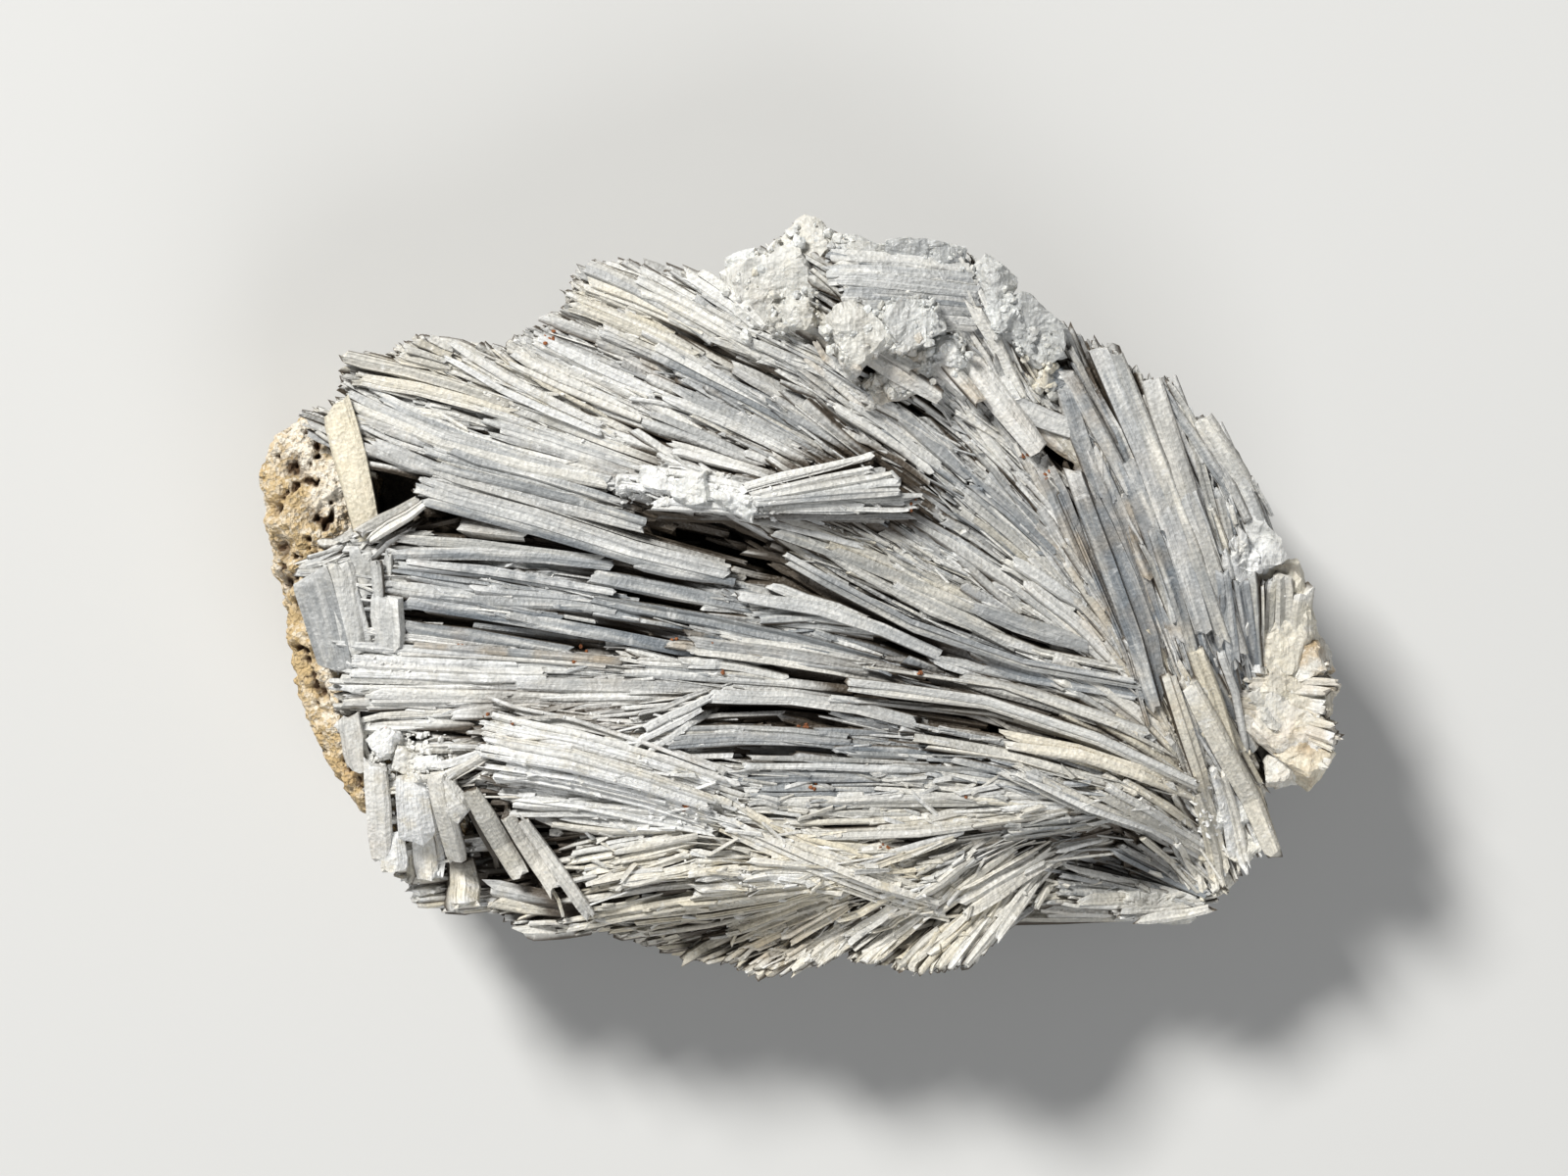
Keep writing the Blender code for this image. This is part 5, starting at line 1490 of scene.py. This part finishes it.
def random_turns(count: int, rng: np.random.Generator, lean: float, about: Array | None = None) -> Array:
    """Rotation matrices: a turn about +Z after small leans about +X and +Y.

    Args:
        count: how many.
        rng: source of the angles.
        lean: spread of the leans, in radians.
        about: the turns about +Z, or none for any turn.

    Returns:
        One matrix for each.
    """
    turn = rng.uniform(0, 2 * np.pi, count) if about is None else about
    a, b = rng.normal(0, lean, (2, count))
    zero, one = np.zeros(count), np.ones(count)
    spin = (np.cos(turn), -np.sin(turn), zero, np.sin(turn), np.cos(turn), zero, zero, zero, one)
    tip = (one, zero, zero, zero, np.cos(a), -np.sin(a), zero, np.sin(a), np.cos(a))
    tilt = (np.cos(b), zero, np.sin(b), zero, one, zero, -np.sin(b), zero, np.cos(b))
    spin, tip, tilt = (np.stack(cells, -1).reshape(-1, 3, 3) for cells in (spin, tip, tilt))
    return spin @ tip @ tilt


@dataclass
class BladedFace:
    """The fans of blades on the face and in the walls and back, one piece for each region."""

    shop: Workshop
    spacing: float = 1.08
    layers: tuple[float, float] = (-0.45, 1.7)
    widths: tuple[float, float] = (0.42, 1.35)
    clear_of: tuple[tuple[float, float, float], ...] = (
        (-42.0, 11.4, 2.1), (-31.4, -24.6, 2.2), (48.3, -16.2, 1.2), (26.4, 15.9, 1.1), (-33.6, -22.4, 1.0),
    )                                   # middle and radius of each hollow that only leaning plates cross
    pieces: dict[str, Blades] = field(default_factory=dict)

    def grow(self) -> None:
        """Works out every blade, region by region, and maps how high they stand."""
        maker = BladeMaker(self.shop.terrain, self.shop.rng)
        regions = {
            "left_fan": (LEFT_FAN, 7, 0.95), "upper_fan": (UPPER_FAN, 7, 0.85),
            "right_blades": (RIGHT_BLADES, 6, 1.5), "centre_fan": (CENTRE, 7, 1.0),
            "lower_sprays": (LOWER_SPRAYS, 7, 0.65), "fringe": (FRINGE, 6, 0.8),
            "root_spray": (ROOT_SPRAY, 6, 0.8), "knob": (KNOB, 6, 1.0), "leaning_plates": (PLATES, 1, 5.0),
            "chalky_sheaf": (SHEAF, 4, 0.75), "striated_plate": (STRIATED_PLATE, 4, 1.2),
        }                               # strokes, finer crystals with each, slimmest member
        for name, row in regions.items():
            self.pieces[name] = maker.bundle(*row)
        for name in ("leaning_plates", "striated_plate", "right_blades"):
            self.pieces[name].taper = 0.12
        for name in ("fringe", "lower_sprays", "root_spray"):
            self.pieces[name].cleft, self.pieces[name].seam = 0.5, 1.3
        self.pieces["right_blades"].cleft, self.pieces["right_blades"].seam = 1.5, 2.6
        filler = maker.filler(self.spacing, self.layers, self.widths)
        middle = filler.paths[:, 2]
        quarter = (middle[:, 0] > 4).astype(int) + 2 * (middle[:, 1] > 0)
        for number, name in enumerate(("near_left", "near_right", "far_left", "far_right")):
            self.pieces[f"fill_{name}"] = filler.chosen(quarter == number)
        walls = maker.walls(2.6, 2.0)
        near = walls.paths[:, 2, 1] < 0
        self.pieces["wall_near"], self.pieces["wall_far"] = walls.chosen(near), walls.chosen(~near)
        self.pieces["back"] = maker.back(3.2)
        for name, blades in self.pieces.items():
            if not name.startswith(("wall", "back")):
                self.pieces[name] = blades.chosen(self.in_place(blades.paths, name == "leaning_plates"))
                self.shop.crevices.add(self.pieces[name].paths)
        self.shop.crevices.settle()
        self.pieces["splinters"] = maker.litter(Litter(), self.shop.crevices)

    def in_place(self, paths: Array, may_cross: bool) -> Array:
        """Whether each blade keeps inside the outline and clear of the open hollows.

        Args:
            paths: the blades' middle lines.
            may_cross: whether they may cross the hollows.

        Returns:
            A mask with one value for each blade.
        """
        plan = paths[..., :2]
        kept = self.shop.terrain.inside(plan, -0.5).all(1)
        if not may_cross:
            holes = np.array(self.clear_of)
            away = distance_to_runs(holes[:, :2], plan[:, :-1].reshape(-1, 2), plan[:, 1:].reshape(-1, 2))
            near = (away < holes[:, 2:]).any(0).reshape(len(paths), -1).any(1)
            kept &= ~near
        return kept

    def build(self) -> None:
        """Grows the blades, then makes a piece of each region."""
        self.grow()
        for name, blades in self.pieces.items():
            piece = blades.piece(f"blades_{name}", self.shop.rng, self.shop.crevices)
            self.shop.place(piece, "silky crystal")


@dataclass
class SmallCrystals:
    """Fine needles along the grain on the broader blades, and stubby prisms across them on the near side."""

    shop: Workshop
    needles: Litter = Litter(1.0, 0.07, (2.6, 10.0), (0.15, 0.40), (0.25, 0.50), 0.30)
    prisms: Litter = Litter(1.25, 0.34, (1.3, 4.6), (0.40, 0.85), (0.50, 0.85), 0.62, -17.0)

    def build(self) -> None:
        """Makes a piece of each kind."""
        maker = BladeMaker(self.shop.terrain, self.shop.rng)
        for name, kind in (("needles", self.needles), ("prisms", self.prisms)):
            crystals = maker.litter(kind, self.shop.crevices)
            piece = crystals.piece(f"blades_{name}", self.shop.rng, self.shop.crevices)
            self.shop.place(piece, "silky crystal")


@dataclass
class GroundMass:
    """The fibrous mass between and behind the blades: a closed shell inside them, coloured dark as painted
    shade in the gaps between blades.
    """

    shop: Workshop
    cover: float = 3.0                  # of blades over it
    columns: int = 220
    wall_rings: int = 36
    top_rings: int = 60

    def build(self) -> None:
        """Maps a tube of rings to the specimen: out along the back, up the wall, then in across the face.

        A ring's distance from the middle is a share of the outline's, and its height is a share of the
        face's height there. Noise that is long along the grain roughens it.
        """
        terrain = self.shop.terrain
        section = np.array([(0.02, 0.012), (0.4, 0.012), *WALL_SECTION])
        step = np.linspace(0, len(section) - 1, self.wall_rings)
        share = np.interp(step, np.arange(len(section)), section[:, 0])
        level = np.interp(step, np.arange(len(section)), section[:, 1])
        inner = np.linspace(0.69, 0.01, self.top_rings)
        share, level = np.concatenate([share, inner]), np.concatenate([level, np.ones(self.top_rings)])
        angle = np.arange(self.columns) / self.columns * 2 * np.pi - np.pi
        radius = share[:, None] * terrain.edge(angle) - 1.6 * (share[:, None] > 0.5)
        plan = np.stack([radius * np.cos(angle), radius * np.sin(angle)], -1)
        top = terrain.face(plan) - self.cover - terrain.groove(plan) * 0.9 + terrain.bundles(plan)
        height = np.minimum(level[:, None] * terrain.face(plan), top)
        rough = value_noise(lifted(plan, height) * [0.35, 0.9, 0.9], 21, 3) * 0.55
        on_back = (level < 0.05)[:, None]
        height = np.where(on_back, np.abs(rough) * 0.35 + 0.02, height + rough)
        points = lifted(plan, np.clip(height, 0.0, TOP_LIMIT)).reshape(-1, 3)
        faces = grid_faces(len(share), self.columns)
        piece = mesh_piece("ground_mass", points, faces, smooth=True)
        # Painted shade: a fixed darkening on the back and walls, and the crevice depth on top.
        depth = np.where(np.repeat(level < 0.95, self.columns), 0.35, self.shop.crevices.at(points))
        give_attribute(piece, "crevice", "FLOAT", depth)
        self.shop.place(piece, "painted shade core")


@dataclass
class GranularBlock:
    """The blocky, granular crystals along the far edge, with small grains crowded on them."""

    shop: Workshop
    depth: float = 5.6
    rings: int = 26                     # of each block's surface
    columns: int = 40
    small_grains: int = 1300

    def build(self) -> None:
        """Makes the blocks, then the small grains on and around them."""
        rng, terrain = self.shop.rng, self.shop.terrain
        middles, sides, turn = BLOCKS[:, :2], BLOCKS[:, 2:4], np.radians(BLOCKS[:, 4])
        top = terrain.face(middles) + BLOCKS[:, 5]
        centres = lifted(middles, top - self.depth / 2)
        half = lifted(sides / 2, np.full(len(BLOCKS), self.depth / 2)) * 1.06
        turns = random_turns(len(BLOCKS), rng, 0.15, turn)
        points, faces = facet_grains(centres, half, turns, rng, 12, self.rings, self.columns, (0.98, 1.40))
        place = points * 1.1
        points += 0.24 * np.stack([value_noise(place, 31 + axis, 4) for axis in range(3)], -1)
        points += 0.34 * np.stack([value_noise(points * 0.35, 51 + axis) for axis in range(3)], -1)
        points[:, 2] = np.minimum(points[:, 2], TOP_LIMIT)
        self.finish(mesh_piece("granular_blocks", points, faces), points, self.rings * self.columns)

        block = rng.integers(0, FAR_BLOCKS, self.small_grains)
        u, v = (rng.uniform(-0.56, 0.56, self.small_grains) * sides[block, axis] for axis in (0, 1))
        spot = middles[block] + turned(np.stack([u, v], -1), turn[block])
        keep = terrain.inside(spot, 0.6)
        spot, block = spot[keep], block[keep]
        size = 0.22 + 0.7 * rng.random(len(spot)) ** 3
        sunk = rng.uniform(-0.1, 0.8, len(spot)) + 4.0 * (rng.random(len(spot)) < 0.2)
        height = top[block] - sunk - size * 0.4
        half = size[:, None] * rng.uniform(0.6, 1.1, (len(spot), 3))
        turns = random_turns(len(spot), rng, 0.5)
        points, faces = facet_grains(lifted(spot, height), half, turns, rng, 8, 4, 7, (0.55, 1.0))
        points[:, 2] = np.minimum(points[:, 2], TOP_LIMIT)
        self.finish(mesh_piece("granular_crumbs", points, faces), points, 4 * 7)

    def finish(self, piece: bpy.types.Object, points: Array, per_grain: int) -> None:
        """Gives a piece the attributes of the crystal finish, one tone for each grain.

        Args:
            piece: the piece.
            points: its corners.
            per_grain: corners in each grain.
        """
        rng = self.shop.rng
        count = len(points) // per_grain
        middle = points.reshape(count, per_grain, 3).mean(1)
        tones = np.repeat(tone_weights(middle[:, :2], rng, 0.5), per_grain, 0)
        give_attribute(piece, "fibre", "FLOAT_VECTOR", points * [1.0, 1.0, 0.2])
        give_attribute(piece, "tones", "FLOAT_COLOR", tones)
        give_attribute(piece, "luck", "FLOAT", np.repeat(rng.uniform(0.2, 0.9, count), per_grain))
        # Painted shade in the crevices between the grains, at most 0.4.
        give_attribute(piece, "crevice", "FLOAT", np.minimum(self.shop.crevices.at(points) * 0.7, 0.4))
        self.shop.place(piece, "granular crystal")


@dataclass
class Crumbs:
    """Chalk powder on the white patches and rust-coloured specks in the clefts."""

    shop: Workshop
    chalk_count: int = 900
    crusts: tuple[tuple[float, float, float, float, int], ...] = (
        (-12.5, 11.6, 6.4, 1.7, 320), (-4.6, 10.0, 2.4, 1.6, 100), (46.0, 4.8, 3.6, 1.6, 110),
        (42.4, -22.4, 2.2, 1.6, 60), (-41.0, -6.6, 3.6, 2.2, 130), (-39.6, -16.0, 4.6, 2.8, 300),
        (-12.0, -21.4, 3.4, 1.0, 60),
    )                                   # middle, half length, half width and grains of each crust

    def build(self) -> None:
        """Makes the chalk and the rust."""
        rng, terrain = self.shop.rng, self.shop.terrain
        rows = np.array(PATCHES[Tone.CHALK])
        area = rows[:, 2] * rows[:, 3]
        patch = rng.choice(len(rows), self.chalk_count, p=area / area.sum())
        offset = rng.normal(0, 0.42, (self.chalk_count, 2)) * rows[patch, 2:4]
        spot = rows[patch, :2] + turned(offset, np.radians(rows[patch, 4]))
        spot = spot[terrain.inside(spot, 1.0)]
        self.scatter("chalk_crumbs", spot, (0.06, 0.24), (0.1, 0.5), "chalk")
        crusted = np.concatenate([
            (x, y) + np.clip(rng.normal(0, 0.5, (number, 2)), -0.9, 0.9) * (along, across)
            for x, y, along, across, number in self.crusts
        ])
        self.scatter("chalk_crust", crusted, (0.12, 0.50), (0.1, 0.5), "chalk", 0.4)
        specks = np.repeat(np.array(RUST_SPECKS), 3, 0) + rng.normal(0, 0.35, (3 * len(RUST_SPECKS), 2))
        self.scatter("rust_specks", specks, (0.16, 0.36), (0.2, 0.5), "rust")

    def scatter(
        self, name: str, spot: Array, sizes: tuple[float, float], lifts: tuple[float, float], finish: str,
        flatness: float = 1.0,
    ) -> None:
        """Scatters small angular grains over places in plan.

        Args:
            name: the piece's name.
            spot: places in plan.
            sizes: smallest and largest half side.
            lifts: lowest and highest middle, above the crystals there.
            finish: name of the finish.
            flatness: height of a grain as a share of its width, and how far it leans.
        """
        rng = self.shop.rng
        size = rng.uniform(*sizes, len(spot))
        crevices = self.shop.crevices
        height = np.maximum(crevices.tops[crevices.squares(spot)], self.shop.terrain.face(spot) - 1.0)
        height = height + rng.uniform(*lifts, len(spot))
        half = size[:, None] * rng.uniform(0.6, 1.2, (len(spot), 3)) * (1.0, 1.0, flatness)
        turns = random_turns(len(spot), rng, 0.8 * flatness)
        points, faces = facet_grains(lifted(spot, height), half, turns, rng, 6, 3, 6, (0.6, 1.05))
        points[:, 2] = np.minimum(points[:, 2], TOP_LIMIT)
        piece = mesh_piece(name, points, faces)
        give_attribute(piece, "crevice", "FLOAT", np.zeros(len(points)))
        self.shop.place(piece, finish)


@dataclass
class MatrixRock:
    """The strip of tan rock: craggy, pitted and crumbly."""

    shop: Workshop
    width: float = 13.0
    top: float = 23.8
    along: int = 220
    around: int = 230
    hollows: tuple[tuple[float, float, float], ...] = (
        (-54.0, 5.6, 1.5), (-53.5, 2.2, 1.0), (-51.0, -0.8, 1.4), (-49.8, -5.6, 0.9), (-49.6, -9.2, 0.8),
        (-50.0, 8.8, 1.6), (-52.4, 13.8, 1.5), (-45.8, -13.4, 1.0), (-49.4, 17.0, 0.8), (-54.2, 9.6, 0.8),
    )                                   # middle and radius of each pit seen on top

    def build(self) -> None:
        """Maps a tube along the strip: its section is a squared ellipse, roughened by noise, sunk by pits."""
        share = np.linspace(0, 1, self.along)
        low, high = ROCK_EDGE[0, 0], ROCK_EDGE[-1, 0]
        y = low + (high - low) * share
        edge = rock_edge(y)
        full = np.sqrt(np.maximum(1 - np.abs(2 * share - 1) ** 7, 0.0004))[:, None]
        angle = np.arange(self.around) / self.around * 2 * np.pi
        corner = np.maximum(np.abs(np.cos(angle)), np.abs(np.sin(angle))) ** -0.55
        half = self.width / 2
        x = edge[:, None] + half + half * full * corner * np.cos(angle)
        z = self.top / 2 + self.top / 2 * (0.45 + 0.55 * full) * corner * np.sin(angle)
        place = np.stack(np.broadcast_arrays(x, y[:, None], z), -1)
        endways = (2 * share[:, None] - 1) ** 9
        outward = unit(np.stack(np.broadcast_arrays(np.cos(angle), endways, np.sin(angle)), -1))
        crag = 0.8 * value_noise(place / 4.2, 41, 4) + 0.36 * value_noise(place / 0.75, 44, 2)
        pit = np.clip(value_noise(place / 0.95, 47, 2) - 0.36, 0, 1)
        holes = np.array(self.hollows)
        away = np.linalg.norm(place[..., None, :2] - holes[:, :2], axis=-1) / holes[:, 2]
        hole = np.exp(-(away ** 2)).max(-1) * (place[..., 2] > 0.6 * self.top)
        reach = np.interp(y, (-26, 0, 8, 13, 21), (4.4, 4.4, 3.4, 1.6, 0.6))[:, None]
        ochre = np.clip((edge[:, None] + reach - place[..., 0]) / 1.6, 0, 1)
        ochre = ochre * np.interp(y, (0, 12), (1, 0.45))[:, None]
        place = place + outward * (crag - 2.0 * pit - 1.5 * hole - 0.6)[..., None]
        place[..., 0] = np.maximum(place[..., 0], float(cad_box[0][0]) / MM)
        place[..., 2] = np.clip(place[..., 2], 0.0, self.top + 1.2)
        quads, first, last = grid_faces(self.along, self.around)
        faces = [table[:, ::-1] for table in (quads, first, last)]
        piece = mesh_piece("matrix_rock_crust", place.reshape(-1, 3), faces, smooth=True)
        hollow = np.clip(1.8 * pit - 0.3 * crag + 0.8 * hole, 0, 1)
        give_attribute(piece, "crevice", "FLOAT", hollow.ravel())
        give_attribute(piece, "ochre", "FLOAT", ochre.ravel())
        self.shop.place(piece, "tan rock", "matrix_rock", "rock")


@dataclass(frozen=True)
class Lamp:
    """A square lamp that faces the specimen."""

    name: str
    place: tuple[float, float, float]
    side: float
    watts: float
    colour: tuple[float, float, float]


@dataclass
class Studio:
    """Floor, lights and camera: the camera looks straight down, and the light comes from the upper left."""

    view_width: float = 0.160           # across the picture, at the height of the face
    lens: float = 100.0
    sensor: float = 36.0
    face_level: float = 0.025
    aim: tuple[float, float] = (-0.0015, 0.0015)
    floor_half: float = 1.5
    ambient: float = 0.13
    lamps: tuple[Lamp, ...] = (
        Lamp("key", (-0.85, 1.10, 1.25), 0.40, 50.0, (1.0, 0.99, 0.965)),
        Lamp("fill", (0.45, -1.15, 1.05), 1.00, 11.0, (0.97, 0.985, 1.0)),
    )

    def build(self) -> None:
        """Sets everything up."""
        self.floor()
        for lamp in self.lamps:
            self.light(lamp)
        self.world()
        self.camera()
        bpy.context.scene.view_settings.view_transform = "Standard"

    def floor(self) -> None:
        """A plain pale floor."""
        mesh = bpy.data.meshes.new("floor")
        corners = self.floor_half * np.array([(-1, -1, 0), (1, -1, 0), (1, 1, 0), (-1, 1, 0)])
        mesh.from_pydata(corners.tolist(), [], [(0, 1, 2, 3)])
        floor = bpy.data.objects.new("floor", mesh)
        bpy.context.scene.collection.objects.link(floor)
        made, graph, shader = shader_of("pale floor")
        graph.fill(shader, {"Base Color": (0.60, 0.60, 0.59, 1), "Roughness": 0.9})
        mesh.materials.append(made)

    def light(self, lamp: Lamp) -> None:
        """Adds a lamp, turned to the middle of the face.

        Args:
            lamp: its place, size and light.
        """
        data = bpy.data.lights.new(lamp.name, "AREA")
        data.size, data.energy, data.color = lamp.side, lamp.watts, lamp.colour
        made = bpy.data.objects.new(lamp.name, data)
        made.location = lamp.place
        x, y, z = -np.array(lamp.place) + (0, 0, self.face_level)
        made.rotation_euler = (math.atan2(math.hypot(x, y), -z), 0, math.atan2(y, x) - math.pi / 2)
        bpy.context.scene.collection.objects.link(made)

    def world(self) -> None:
        """Even dim light from all round."""
        world = bpy.data.worlds.new("studio")
        world.use_nodes = True
        background = world.node_tree.nodes["Background"]
        Graph(world.node_tree).fill(background, {"Color": (0.97, 0.98, 1.0, 1), "Strength": self.ambient})
        bpy.context.scene.world = world

    def camera(self) -> None:
        """The camera, straight above the specimen, with the far edge at the top of the picture."""
        data = bpy.data.cameras.new("camera")
        data.lens, data.sensor_width = self.lens, self.sensor
        made = bpy.data.objects.new("camera", data)
        made.location = (*self.aim, self.face_level + self.view_width * self.lens / self.sensor)
        bpy.context.scene.collection.objects.link(made)
        bpy.context.scene.camera = made


def finishes() -> dict[str, bpy.types.Material]:
    """Every finish.

    Returns:
        The materials by name.
    """
    groups = Groups(striation_group(), grit_group(), rust_and_shade_group())
    made = [
        CrystalFinish("silky crystal"),
        CrystalFinish(
            "granular crystal", (0.50, 0.50, 0.485, 1), (0.85, 0.865, 0.85, 1), lines_per_mm=2.4, glow=0.25,
        ),
        # The core's dark colours are painted shade, seen in the gaps between blades.
        StoneFinish("painted shade core", (0.30, 0.27, 0.22, 1), (0.13, 0.11, 0.085, 1), (0.03, 0.024, 0.018, 1)),
        StoneFinish(
            "tan rock", (0.82, 0.76, 0.65, 1), (0.56, 0.41, 0.21, 1), (0.09, 0.05, 0.022, 1), 2300.0, 0.55,
            specks=0.6,
        ),
        StoneFinish("chalk", (0.86, 0.86, 0.84, 1), (0.66, 0.65, 0.61, 1), (0.4, 0.38, 0.34, 1), rust=0.0),
        StoneFinish("rust", (0.32, 0.11, 0.035, 1), (0.14, 0.05, 0.02, 1), (0.06, 0.03, 0.015, 1), rust=0.2),
    ]
    return {row.name: row.material(groups) for row in made}


def main() -> None:
    """Builds the specimen and its studio."""
    logging.basicConfig(level=logging.INFO, format="%(name)s %(message)s")
    terrain = Terrain()
    shop = Workshop(terrain, Crevices(terrain), np.random.default_rng(SEED), finishes())
    kinds = (BladedFace, GroundMass, GranularBlock, Crumbs, MatrixRock, SmallCrystals)
    for part in [*(kind(shop) for kind in kinds), Studio()]:
        part.build()
        log.info("built %s", type(part).__name__)


if __name__ == "__main__":
    main()
